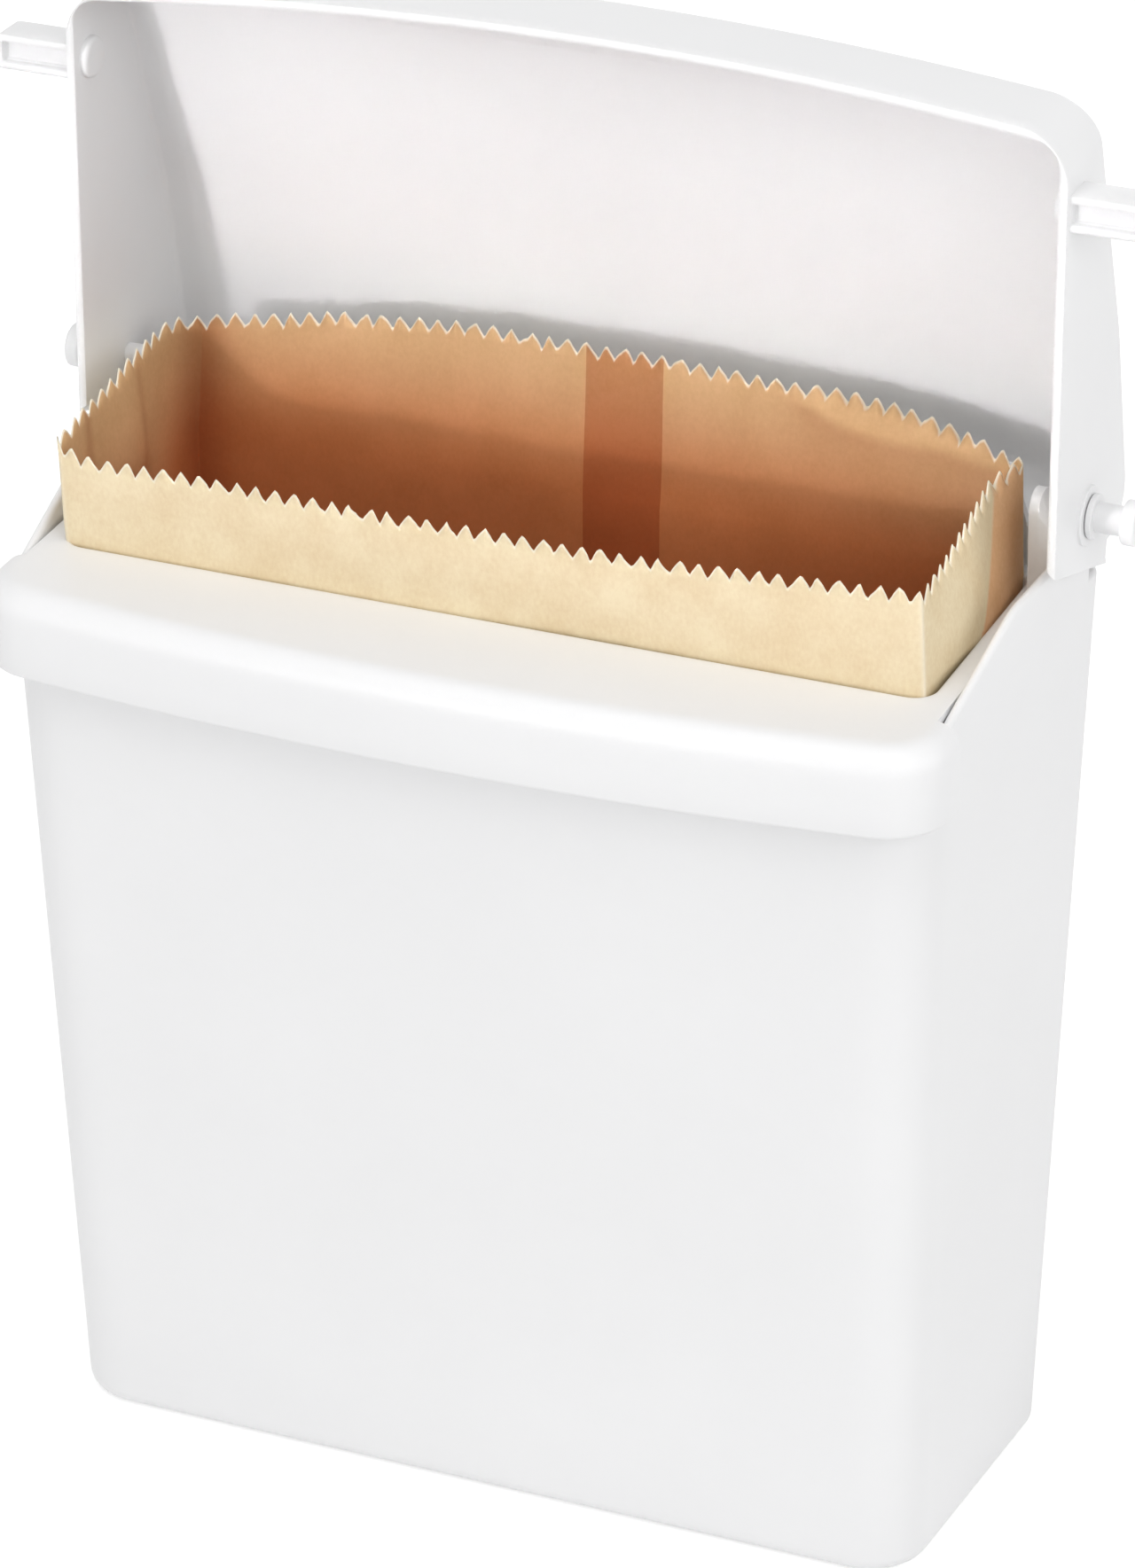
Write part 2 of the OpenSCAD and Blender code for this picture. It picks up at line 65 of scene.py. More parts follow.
def outline(front_half, back_half, y_front, y_back, r_front, r_back, shares, bow=0.0):
    """Plan outline with round corners, from the front edge round; shares place the points of the sides."""
    fx, bx = front_half - r_front, back_half - r_back
    fore, aft = y_front + r_front, y_back - r_back
    across = np.linspace(-1, 1, edge_steps + 1)[1:-1]
    front = np.column_stack((across*fx, np.full(edge_steps - 1, y_front)))
    back = np.column_stack((-across*bx, np.full(edge_steps - 1, y_back)))
    side = np.column_stack((front_half + (back_half - front_half)*shares, fore + (aft - fore)*shares))
    right = np.vstack((arc(fx, fore, r_front, -90), side, arc(bx, aft, r_back, 0)))
    ring = np.vstack((front, right, back, right[::-1]*(-1, 1)))
    x, y = ring.T
    ahead = bow*np.clip(1 - (x/front_half)**2, 0, None)
    return np.column_stack((x, y - np.where(y < fore, ahead, 0)))


def level(plan, z):
    """Plan outline at a height, or at one height for each of its points."""
    return np.column_stack((plan, np.broadcast_to(z, len(plan))))


def skin(rings, ends=True):
    """Quads between closed rings of equal length, with fans to the middles of both ends."""
    n = len(rings[0])
    points = np.vstack(rings)
    i = np.arange(n)
    j = (i + 1) % n
    faces = [q for k in range(len(rings) - 1)
             for q in np.column_stack((k*n + i, k*n + j, (k + 1)*n + j, (k + 1)*n + i)).tolist()]
    if ends:
        points = np.vstack((points, rings[0].mean(axis=0), rings[-1].mean(axis=0)))
        low, high, top = len(points) - 2, len(points) - 1, (len(rings) - 1)*n
        faces += [(low, b, a) for a, b in zip(i.tolist(), j.tolist())]
        faces += [(high, top + a, top + b) for a, b in zip(i.tolist(), j.tolist())]
    return points, faces


def piece(name, shells, finish, crease=38.0):
    """One object from closed shells, each points and faces, smooth but for its real edges."""
    weld = 0.004*mm
    points, faces = [], []
    for shell_points, shell_faces in shells:
        first = len(points)
        points += np.asarray(shell_points).tolist()
        faces += [tuple(first + v for v in f) for f in shell_faces]
    mesh = bpy.data.meshes.new(name)
    mesh.from_pydata(points, [], faces)
    work = bmesh.new()
    work.from_mesh(mesh)
    bmesh.ops.remove_doubles(work, verts=work.verts, dist=weld)
    bmesh.ops.dissolve_degenerate(work, edges=work.edges, dist=weld)
    bmesh.ops.recalc_face_normals(work, faces=work.faces)
    work.to_mesh(mesh)
    work.free()
    mesh.shade_smooth()
    mesh.set_sharp_from_angle(angle=math.radians(crease))
    mesh.materials.append(finish)
    obj = bpy.data.objects.new(name, mesh)
    bpy.context.scene.collection.objects.link(obj)
    return obj


def node_tree(material):
    """Shader tree of a material: its nodes, its links, its shader and a node with Object coordinates."""
    material.use_nodes = True
    nodes, links = material.node_tree.nodes, material.node_tree.links
    shader = nodes["Principled BSDF"]
    place = nodes.new("ShaderNodeTexCoord")
    return nodes, links, shader, place


def maths(nodes, links, operation, *values):
    """Maths node on sockets or plain numbers."""
    node = nodes.new("ShaderNodeMath")
    node.operation = operation
    for socket, value in zip(node.inputs, values):
        if isinstance(value, bpy.types.NodeSocket):
            links.new(value, socket)
        else:
            socket.default_value = value
    return node.outputs["Value"]


def span(nodes, links, value, given, wanted, kind="LINEAR"):
    """Value carried over from the given span, as two ends, to the wanted one."""
    node = nodes.new("ShaderNodeMapRange")
    node.interpolation_type = kind
    ends = zip(("From Min", "From Max", "To Min", "To Max"), (*given, *wanted))
    for name, end in ends:
        node.inputs[name].default_value = end
    links.new(value, node.inputs["Value"])
    return node.outputs["Result"]


def moulded_white(name, tone):
    """White moulded plastic: a fine spark-eroded grain, faint clouding and a soft satin gloss."""
    material = bpy.data.materials.new(name)
    nodes, links, shader, place = node_tree(material)
    clouds = nodes.new("ShaderNodeTexNoise")
    clouds.inputs["Scale"].default_value = 14
    clouds.inputs["Detail"].default_value = 4
    links.new(place.outputs["Object"], clouds.inputs["Vector"])
    tint = nodes.new("ShaderNodeValToRGB")
    tint.color_ramp.elements[0].position = 0.3
    tint.color_ramp.elements[1].position = 0.7
    cloud_share = 0.978
    tint.color_ramp.elements[0].color = (*[cloud_share*c for c in tone], 1)
    tint.color_ramp.elements[1].color = (*tone, 1)
    links.new(clouds.outputs["Fac"], tint.inputs["Fac"])
    links.new(tint.outputs["Color"], shader.inputs["Base Color"])
    grain = nodes.new("ShaderNodeTexNoise")
    grain.inputs["Scale"].default_value = 1500
    grain.inputs["Detail"].default_value = 3
    links.new(place.outputs["Object"], grain.inputs["Vector"])
    satin = span(nodes, links, grain.outputs["Fac"], (0, 1), (0.36, 0.5))
    links.new(satin, shader.inputs["Roughness"])
    bump = nodes.new("ShaderNodeBump")
    bump.inputs["Strength"].default_value = 0.06
    bump.inputs["Distance"].default_value = 0.05*mm
    links.new(grain.outputs["Fac"], bump.inputs["Height"])
    links.new(bump.outputs["Normal"], shader.inputs["Normal"])
    return material


# Shares along the side of the bucket, close together where the cheek ends
bucket_shares = np.concatenate((np.linspace(0.03, 0.93, 20), (0.9415, 0.9468, 0.9473, 0.97)))


def bucket_ring(z, inset):
    """Ring of the bucket's wall at height z, drawn in by inset; walls are straight from floor to deck."""
    floor = outline(rim_front_half - side_draft - inset, rim_back_half - side_draft - inset,
                    -base_half_d + inset, base_half_d - inset,
                    bucket_front_r - inset, bucket_back_r - inset, bucket_shares)
    deck = outline(rim_front_half - inset, rim_back_half - inset,
                   -base_half_d - front_lean + inset, base_half_d + back_lean - inset,
                   bucket_front_r - inset, bucket_back_r - inset, bucket_shares, front_bow)
    share = np.broadcast_to(np.asarray(z)/deck_h, len(deck))[:, None]
    return level(floor + (deck - floor)*share, z)


# Top edge of the bucket by depth: low under the skirt, then the shoulder, the cheek and the back rim
rim_z = deck_h - liner_wall
cheek_z = deck_h + cheek_h
shoulder_y, knee_y, cheek_end_y = -37*mm, 6*mm, 55*mm
step, soft, far = 0.03*mm, 0.5*mm, 200*mm
top_at = ((-far, rim_z - rim_seat), (shoulder_y - step, rim_z - rim_seat), (shoulder_y, rim_z),
          (knee_y, cheek_z - soft), (hinge_y, cheek_z), (cheek_end_y - soft, cheek_z),
          (cheek_end_y, cheek_z - soft), (cheek_end_y + step, rim_z), (far, rim_z))
bucket_top = np.interp(bucket_ring(deck_h, 0)[:, 1], *zip(*top_at))
shoulder_z = deck_h - 12*mm
half_wall = bucket_wall/2
inner_base_r = 2*mm
rings = [bucket_ring(base_edge_r*(1 - math.cos(a)), base_edge_r*(1 - math.sin(a)))
         for a in np.radians(np.arange(0, 91, 15))]
rings += [bucket_ring(z, 0) for z in np.linspace(base_edge_r, shoulder_z, 9)[1:]]
top_wall = bucket_top - half_wall - shoulder_z
rings += [bucket_ring(shoulder_z + top_wall*t, 0) for t in (0.33, 0.67, 1)]
rings += [bucket_ring(bucket_top - half_wall + half_wall*math.sin(a), half_wall*(1 - math.cos(a)))
          for a in np.radians((30, 60, 90, 120, 150, 180))]
rings += [bucket_ring(shoulder_z + top_wall*t, bucket_wall) for t in (0.5, 0)]
rings += [bucket_ring(z, bucket_wall) for z in (0.75*deck_h, 0.5*deck_h, 0.25*deck_h, 2*bucket_wall)]
rings += [bucket_ring(bucket_wall, bucket_wall + inner_base_r)]
shells = [skin(rings)]

# The lugs stand between bag and cheek, each with a web behind it that slopes down into the cheek
lug_x, lug_t, lug_r, peg_r = 123.7*mm, 2.6*mm, 5.5*mm, 3*mm
lug_foot, foot_flare = deck_h + 1.5*mm - hinge_z, 1.6
web_x, web_drop = 132*mm, 0.66
turn = np.arange(0, 360, 10)
round_side = np.column_stack((np.cos(np.radians(turn)), np.sin(np.radians(turn))))
lug_side = round_side*lug_r
low_half = turn > 180
lug_side[low_half] = np.column_stack((np.clip(foot_flare*lug_side[low_half, 0], -lug_r, lug_r),
                                      np.full(low_half.sum(), lug_foot)))
web_side = (lug_side - (0, lug_foot))*(1, web_drop) + (0, lug_foot)
bore = round_side*peg_r


def lug_ring(x, side_view):
    """Side view drawn about the hinge axis, at a place along it."""
    return np.column_stack((np.full(len(side_view), x), side_view + (hinge_y, hinge_z)))


for side in (-1, 1):
    bag_face, wall_face = side*lug_x, side*(lug_x + lug_t)
    loop = [lug_ring(bag_face, lug_side), lug_ring(wall_face, lug_side), lug_ring(wall_face, bore),
            lug_ring(bag_face, bore), lug_ring(bag_face, lug_side)]
    shells.append(skin(loop, ends=False))
    shells.append(skin([lug_ring(wall_face, lug_side), lug_ring(side*web_x, web_side)]))

white = moulded_white("white_plastic", (0.845, 0.845, 0.85))
bucket = piece("bucket", shells, white)
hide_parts("body_shell")
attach(bucket, "bin")

# Liner
# A lift-out inner bin in the same white plastic: a deep pocket for the bag, a flat deck round it that
# rests on the bucket's rim, a skirt turned down over the bucket's front, and an upstand behind the bag.
pocket_half, pocket_front, pocket_back, pocket_r = 121*mm, -27.6*mm, 48.4*mm, 6*mm
pocket_draft, pocket_front_draft, pocket_back_draft = 6*mm, 2.4*mm, 9*mm
pocket_floor = 10.6*mm
skirt_half, skirt_front, skirt_back, skirt_r = 133.2*mm, -58.4*mm, -37.4*mm, 15*mm
skirt_h, deck_edge_r = 24*mm, 7*mm
deck_back, deck_between, deck_back_r = 63.7*mm, 127*mm, 1*mm
skirt_end = (skirt_back - skirt_front - skirt_r)/(deck_back - deck_back_r - skirt_front - skirt_r)
skirt_shares = skirt_end*np.array((0.33, 0.66, 0.999, 1.001))
liner_shares = np.concatenate((skirt_shares, np.linspace(0.08, 0.98, 18)))


def pocket_ring(z, grow):
    """Ring of the pocket at height z, grown outwards; the pocket narrows towards its floor."""
    t = 1 - z/deck_h
    half = pocket_half - pocket_draft*t + grow
    return level(outline(half, half, pocket_front + pocket_front_draft*t - grow,
                         pocket_back - pocket_back_draft*t + grow,
                         pocket_r + grow, pocket_r + grow, liner_shares), z)


def deck_ring(z, inset):
    """Ring of deck and skirt; behind the skirt it is only the edge of the deck, between the cheeks."""
    half, r = skirt_half - inset, max(skirt_r - inset, deck_back_r)
    plan = outline(half, half, skirt_front + inset, deck_back, r, deck_back_r, liner_shares, front_bow)
    x, y = plan.T
    rear = y > skirt_back
    x = np.where(rear, np.clip(x, -deck_between, deck_between), x)
    z = np.where(rear, max(z, deck_h - liner_wall), z)
    return np.column_stack((x, y, z))


lip_r, hem_r, sole_r = 1.2*mm, liner_wall/2, 4*mm
lip_land, edge_land = 2*mm, 1*mm
skirt_low = deck_h - skirt_h
sole_z = pocket_floor + liner_wall
rings = [pocket_ring(sole_z + sole_r*(1 - math.cos(a)), -sole_r*(1 - math.sin(a)))
         for a in np.radians((0, 30, 60, 90))]
rings += [pocket_ring(z, 0) for z in np.linspace(sole_z + sole_r, deck_h - lip_r, 8)[1:]]
rings += [pocket_ring(deck_h - lip_r*(1 - math.sin(a)), lip_r*(1 - math.cos(a)))
          for a in np.radians((30, 60, 90))]
inner, outer = pocket_ring(deck_h, lip_land), deck_ring(deck_h, deck_edge_r + edge_land)
rings += [inner, inner + (outer - inner)*0.5, outer]
rings += [deck_ring(deck_h - deck_edge_r*(1 - math.cos(a)), deck_edge_r*(1 - math.sin(a)))
          for a in np.radians(np.arange(0, 91, 11.25))]
rings += [deck_ring(z, 0) for z in np.linspace(deck_h - deck_edge_r, skirt_low + hem_r, 4)[1:]]
rings += [deck_ring(skirt_low + hem_r*(1 - math.sin(a)), hem_r*(1 - math.cos(a)))
          for a in np.radians((30, 60, 90, 120, 150, 180))]
inner_r, deck_low = deck_edge_r - liner_wall, deck_h - liner_wall
rings += [deck_ring(deck_low - inner_r*(1 - math.cos(a)), liner_wall + inner_r*(1 - math.sin(a)))
          for a in np.radians((90, 60, 30, 0))]
rings += [pocket_ring(z, liner_wall) for z in np.linspace(deck_low, pocket_floor + sole_r, 5)]
rings += [pocket_ring(pocket_floor, liner_wall - sole_r/2)]
shells = [skin(rings)]

# The upstand has a round top edge and slopes down at its ends
upstand_half, upstand_front, upstand_h = 113*mm, 52.4*mm, 28*mm
upstand_foot, foot_share, end_share = 119.5*mm, 0.3, 0.6
across = np.radians(np.arange(0, 181, 22.5))
round_top = np.column_stack((np.cos(across), np.sin(across)))*hem_r + (0, upstand_h - hem_r)
upstand_y, upstand_z = np.vstack(((-hem_r, -hem_r), (hem_r, -hem_r), round_top)).T


def upstand_ring(x, height, thickness):
    """Ring across the upstand at x, with a share of its height and of its thickness."""
    z = np.where(upstand_z > 0, height*upstand_z, upstand_z) - (1 - thickness)*hem_r
    return np.column_stack((np.full(len(z), x), upstand_front + hem_r + thickness*upstand_y, deck_h + z))


right_end = [(upstand_half, 1, 1), (upstand_foot - hem_r/2, foot_share, 1),
             (upstand_foot, foot_share, end_share)]
left_end = [(-x, height, thickness) for x, height, thickness in right_end[::-1]]
shells.append(skin([upstand_ring(*place) for place in left_end + right_end]))
liner = piece("liner", shells, white)
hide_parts("rigid_liner")
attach(liner, "bin")

# Paper bag
# A disposable bag of brown kraft paper, folded flat in its box and opened out by hand, so that it bulges,
# leans and creases. Its mouth is cut with a zigzag blade, and a glued lap runs down the back.
bag_floor = 13.5*mm
paper_t = 0.35*mm
tooth_pitch, tooth_h, tooth_curve, tooth_share = 5.35*mm, 4.2*mm, 1.15, 0.95
unevenness, uneven_scale = 0.5, 160
columns_per_tooth, soft_passes = 8, 40
front_panel, right_panel, back_panel, left_panel = range(4)

# Mouth of the bag as (x, y, z) along each panel, and its line at the deck as (x, y), all in mm
front_mouth = ((-122, -25.6, 285.6), (-118, -26.6, 283.2), (-113, -27.1, 281.8), (-86, -27.4, 282.6),
               (-61, -27.3, 282), (-36, -27.1, 281.4), (0, -26.8, 281.4), (25, -27, 281.1),
               (50, -27.3, 281.9), (74, -27.2, 283.1), (98, -26.8, 284.4), (113, -26.2, 285),
               (118, -25, 284.2))
right_mouth = ((118, -25, 284.2), (117.4, -13, 284.2), (118.2, -4, 284.8), (118, 6, 285.7),
               (117, 17, 286.7), (114.8, 29, 288), (114, 36, 288.5), (116, 43, 288.8),
               (118.3, 47.2, 288.8))
back_mouth = ((118.3, 47.2, 288.8), (114, 48.4, 289.6), (103, 49.8, 291.8), (94, 50.8, 293.2),
              (84, 51.2, 295), (69, 51.5, 296.6), (54, 51.7, 297.6), (40, 51.8, 298.4), (10, 51.9, 299.2),
              (-20, 51.9, 299.2), (-36, 51.8, 299.8), (-50, 51.6, 299), (-64, 51.3, 297.6), (-77, 51, 297),
              (-92, 50.3, 293.8), (-101, 49.7, 292.9), (-109, 48.7, 292), (-115, 46.5, 291))
left_mouth = ((-115, 46.5, 291), (-120, 43, 291.8), (-122, 39, 292), (-122.2, 30, 291.3),
              (-122.2, 19, 290.7), (-122, 6, 289.2), (-122, -4.5, 288), (-122, -15, 287.2),
              (-122, -25.6, 285.6))
front_foot = ((-120.4, -26.4), (-116, -27), (116, -27), (119.4, -26))
right_foot = ((119.4, -26), (120.4, -12), (120.5, 17), (119.6, 34), (119, 47.2))
back_foot = ((119, 47.2), (114, 47.8), (-113, 47.8), (-118, 46.5))
left_foot = ((-118, 46.5), (-120.3, 40), (-120.5, 10), (-120.4, -26.4))


def spread(line, count):
    """Points evenly spaced along a line, softened between its ends."""
    line = np.asarray(line, float)*mm
    run = np.concatenate(((0,), np.cumsum(np.linalg.norm(np.diff(line, axis=0), axis=1))))
    at = np.linspace(0, run[-1], count + 1)
    points = np.column_stack([np.interp(at, run, axis) for axis in line.T])
    for _ in range(soft_passes):
        points[1:-1] = (points[:-2] + 2*points[1:-1] + points[2:])/4
    return points[:-1]


panels = []
for k, (mouth, foot) in enumerate(((front_mouth, front_foot), (right_mouth, right_foot),
                                   (back_mouth, back_foot), (left_mouth, left_foot))):
    length = np.linalg.norm(np.diff(np.asarray(mouth), axis=0), axis=1).sum()*mm
    count = columns_per_tooth*round(length/tooth_pitch)
    panels.append((spread(mouth, count), spread(foot, count), np.full(count, k)))
mouth, foot = (np.vstack([p[i] for p in panels]) for i in (0, 1))
panel = np.concatenate([p[2] for p in panels])
x_along, y_along, mouth_z = mouth.T
columns = len(mouth)
run = np.concatenate(((0,), np.cumsum(np.linalg.norm(np.diff(mouth, axis=0), axis=1))))

# The bag narrows with the pocket down to its sole, which keeps a little clear of the pocket
sole_gap = 0.6*mm
pocket_share = 1 - bag_floor/deck_h
bag_sole = foot*((pocket_half - pocket_draft*pocket_share)/pocket_half, 1)
sole_front = pocket_front + pocket_front_draft*pocket_share + sole_gap
sole_back = pocket_back - pocket_back_draft*pocket_share - sole_gap
bag_sole[:, 1] = np.interp(foot[:, 1], (foot[:, 1].min(), foot[:, 1].max()), (sole_front, sole_back))

# Painted shade darkens the paper at its folds: the inner corner at the back left, and two soft creases on
# the left
corner = mouth[np.searchsorted(panel, left_panel), :2]
corner_shade_w, crease_w = 8*mm, 2*mm
corner_and_crease_shade = np.exp(-(np.hypot(*(mouth[:, :2] - corner).T)/corner_shade_w)**2)
for crease_at, strength in ((-9*mm, 0.5), (20*mm, 0.35)):
    soft_crease_shade = strength*np.exp(-((y_along - crease_at)/crease_w)**2)
    corner_and_crease_shade = np.maximum(corner_and_crease_shade, np.where(panel == left_panel, soft_crease_shade, 0))

# Right side at the deck and at the mouth, as (x, y) in mm: front corner, slanting crease and back corner.
# The crease of the folded gusset leans back in a curve on its way up.
side_foot = ((119.4, -26), (121, 10), (119, 47.2))
side_mouth = ((118, -25), (114, 36), (118.3, 47.2))
lean_curve, belly_curve, side_bulge = 0.75, 0.6, 1.9
# Left side: a soft dent in its middle and a slighter one near the front, which fade out at its ends
dent_depth, dent_w = 1.2*mm, 7*mm
dents = np.interp(y_along, np.array((-25, -15, 30, 43))*mm, (0, 1, 1, 0))*(1 + np.sin(y_along/dent_w))
# Front and back: slow waves, and at the upper right of the back a part that turns over along a line
long_wave, short_wave, front_wave, back_wave = 31*mm, 13*mm, 0.5*mm, 0.6*mm
long_shift, short_shift, short_share = 2.1, 3, 0.6
turn_z = np.interp(x_along, np.array((46, 66, 80, 95, 112))*mm, np.array((298, 289, 286.5, 287, 285))*mm)
turn_ends = np.interp(x_along, np.array((44, 60, 100, 112))*mm, (0, 1, 1, 0))
turn_slope = 0.35
# Painted shade in the hollow under the part that turns over
hollow_most, hollow_start, hollow_reach, gusset_edge = 0.6, 3*mm, 12*mm, 1.5
hollow_end = hollow_most*np.interp(x_along, (46*mm, 58*mm), (0, 1))

# Rows of points from the sole to the deck, then on to the mouth, whose top band holds the teeth. The last
# row below the band is placed by its share of the way from the deck to the band.
sunk_rows, risen_rows, row_below_band, top_band = 11, 22, 20/21, 5*mm
rows, fold_shades = [], []
for t in np.arange(sunk_rows)/sunk_rows:
    plan = bag_sole + (foot - bag_sole)*t
    rows.append(level(plan, bag_floor + (deck_h - bag_floor)*t))
    fold_shades.append(corner_and_crease_shade)
band_z = mouth_z - top_band
heights = [deck_h + (band_z - deck_h)*t for t in (*np.linspace(0, row_below_band, risen_rows), 1)]
for height in (*heights, mouth_z):
    rise = (height - deck_h)/(mouth_z - deck_h)
    plan = foot + (mouth[:, :2] - foot)*rise[:, None]
    belly = np.sin(np.pi*np.clip(rise, 0, 1)**belly_curve)
    # The right side bulges over the deck as far as the crease
    front_x, crease_x, back_x = (a[0] + (b[0] - a[0])*rise for a, b in zip(side_foot, side_mouth))
    leans = (rise, np.clip(rise, 0, 1)**lean_curve, rise)
    front_y, crease_y, back_y = (a[1] + (b[1] - a[1])*lean
                                 for a, b, lean in zip(side_foot, side_mouth, leans))
    y = plan[:, 1]/mm
    ahead, behind = (y - front_y)/(crease_y - front_y), (y - crease_y)/(back_y - crease_y)
    bulged = front_x + (crease_x - front_x)*ahead + side_bulge*belly*np.sin(np.pi*np.clip(ahead, 0, 1))
    folded = np.where(y < crease_y, bulged, crease_x + (back_x - crease_x)*behind)*mm
    plan[:, 0] = np.where(panel == right_panel, folded, plan[:, 0])
    plan[:, 0] += np.where(panel == left_panel, dent_depth*belly*dents, 0)
    # Front and back wave slightly, and the back turns over a little at its upper right
    wave = np.sin(x_along/long_wave + long_shift*rise)
    wave += short_share*np.sin(x_along/short_wave - short_shift*rise)
    over = turn_slope*turn_ends*np.clip(height - turn_z, 0, None)
    plan[:, 1] += np.where(panel == front_panel, -front_wave*belly*wave, 0)
    plan[:, 1] += np.where(panel == back_panel, back_wave*belly*wave + over, 0)
    rows.append(level(plan, height))
    # Painted shade behind the gusset's crease, and in the hollow under the part that turns over
    under = np.clip(turn_z - height, 0, None)
    hollow_shade = hollow_end*np.clip(under/hollow_start, 0, 1)*np.exp(-under/hollow_reach)
    gusset_shade = np.clip((y - crease_y)/gusset_edge, 0, 1)
    fold_shade = np.where(panel == right_panel, gusset_shade, np.where(panel == back_panel, hollow_shade, 0))
    fold_shades.append(np.maximum(corner_and_crease_shade, fold_shade))
bag_points, bag_faces = skin(rows, ends=False)
sole_middle = len(bag_points)
bag_points = np.vstack((bag_points, rows[0].mean(axis=0)))
bag_faces += [(sole_middle, (a + 1) % columns, a) for a in range(columns)]
bag_mesh = bpy.data.meshes.new("bag_skin")
bag_mesh.from_pydata(bag_points.tolist(), [], bag_faces)


def store(mesh, name, by_column, sole):
    """Number kept on each point of the paper: by column in each row, and at the middle of the sole."""
    values = np.append(np.ravel(by_column), sole).astype(np.float32)
    mesh.attributes.new(name, "FLOAT", "POINT").data.foreach_set("value", values)


lip = np.zeros((len(rows), columns))
lip[-1] = 1
store(bag_mesh, "lip", lip, 0)
store(bag_mesh, "along", np.tile(run, len(rows)), 0)


def kraft_paper(name, dark, pale, shade_tint, fold_shade_tint):
    """Brown kraft paper with fibres, mottling and a pale cut edge, with painted shade deep down and in
    folds, and a painted highlight where one is stored.
    """
    material = bpy.data.materials.new(name)
    nodes, links, shader, place = node_tree(material)
    shader.inputs["Roughness"].default_value = 0.82
    shader.inputs["Specular IOR Level"].default_value = 0.25
    stretch = nodes.new("ShaderNodeMapping")
    stretch.inputs["Scale"].default_value = (1, 1, 0.7)
    links.new(place.outputs["Object"], stretch.inputs["Vector"])
    fibre = nodes.new("ShaderNodeTexNoise")
    fibre.inputs["Scale"].default_value = 900
    fibre.inputs["Detail"].default_value = 5
    fibre.inputs["Roughness"].default_value = 0.65
    links.new(stretch.outputs["Vector"], fibre.inputs["Vector"])
    mottle = nodes.new("ShaderNodeTexNoise")
    mottle.inputs["Scale"].default_value = 70
    mottle.inputs["Detail"].default_value = 4
    links.new(place.outputs["Object"], mottle.inputs["Vector"])
    fibre_share, mottle_share = 0.45, 0.55
    mottled = maths(nodes, links, "MULTIPLY", mottle.outputs["Fac"], mottle_share)
    grain = maths(nodes, links, "MULTIPLY_ADD", fibre.outputs["Fac"], fibre_share, mottled)
    tone = nodes.new("ShaderNodeValToRGB")
    for stop, position, tint in zip(tone.color_ramp.elements, (0.36, 0.62), (dark, pale)):
        stop.position = position
        stop.color = (*tint, 1)
    links.new(grain, tone.inputs["Fac"])
    on_paper = {}
    for kept in ("below", "shade", "fold_shade", "edge_highlight"):
        node = nodes.new("ShaderNodeAttribute")
        node.attribute_name = kept
        on_paper[kept] = node.outputs["Fac"]
    # Painted shade: the paper darkens with the shade stored on it, from 3 mm to 43 mm below the tips
    depth = span(nodes, links, on_paper["shade"], (3*mm, 43*mm), (0, 1), "SMOOTHSTEP")
    # The glued lap down the middle of the back is two sheets thick, so less light comes through it
    where = nodes.new("ShaderNodeSeparateXYZ")
    links.new(place.outputs["Object"], where.inputs["Vector"])
    near_lap = maths(nodes, links, "COMPARE", where.outputs["X"], lap_x, lap_half)
    at_back = maths(nodes, links, "GREATER_THAN", where.outputs["Y"], lap_front)
    lap = maths(nodes, links, "MULTIPLY", near_lap, at_back)
    colour = tone.outputs["Color"]
    # The painted shade deep down, the darker lap and the painted shade at the folds each multiply the
    # colour
    for amount, tint in ((depth, shade_tint), (lap, lap_tint), (on_paper["fold_shade"], fold_shade_tint)):
        deepen = nodes.new("ShaderNodeMix")
        deepen.data_type = "RGBA"
        deepen.blend_type = "MULTIPLY"
        deepen.inputs["B"].default_value = (*tint, 1)
        links.new(amount, deepen.inputs["Factor"])
        links.new(colour, deepen.inputs["A"])
        colour = deepen.outputs["Result"]
    # Paler at the cut edge along the mouth, and where a painted highlight lies along the front's outer
    # edges
    band = span(nodes, links, on_paper["below"], (0.25*mm, 0.9*mm), (0.85, 0))
    cut_edge_and_highlight = maths(nodes, links, "MAXIMUM", band, on_paper["edge_highlight"])
    cut = nodes.new("ShaderNodeMix")
    cut.data_type = "RGBA"
    cut.inputs["B"].default_value = (*cut_paper, 1)
    links.new(cut_edge_and_highlight, cut.inputs["Factor"])
    links.new(colour, cut.inputs["A"])
    links.new(cut.outputs["Result"], shader.inputs["Base Color"])
    bump = nodes.new("ShaderNodeBump")
    bump.inputs["Strength"].default_value = 0.25
    bump.inputs["Distance"].default_value = 0.06*mm
    links.new(fibre.outputs["Fac"], bump.inputs["Height"])
    links.new(bump.outputs["Normal"], shader.inputs["Normal"])
    return material


cut_paper = (0.9, 0.83, 0.68)
lap_x, lap_half, lap_front, lap_tint = 6*mm, 11*mm, 36*mm, (0.76, 0.56, 0.47)
plain = (1, 1, 1)
kraft_outside = kraft_paper("kraft_outside", (0.727, 0.58, 0.365), (0.814, 0.695, 0.476),
                            shade_tint=plain, fold_shade_tint=(1.0, 0.72, 0.58))
# The inside is a darker, redder copy of the same paper, painted for the shade and warm bounced light inside
# the bag
kraft_inside_shaded = kraft_paper("kraft_inside_shaded", (0.6, 0.374, 0.18), (0.675, 0.43, 0.222),
                           shade_tint=(0.86, 0.46, 0.31), fold_shade_tint=(0.66, 0.5, 0.42))
kraft_edge = kraft_paper("kraft_edge", (0.8, 0.69, 0.5), cut_paper, shade_tint=plain, fold_shade_tint=plain)

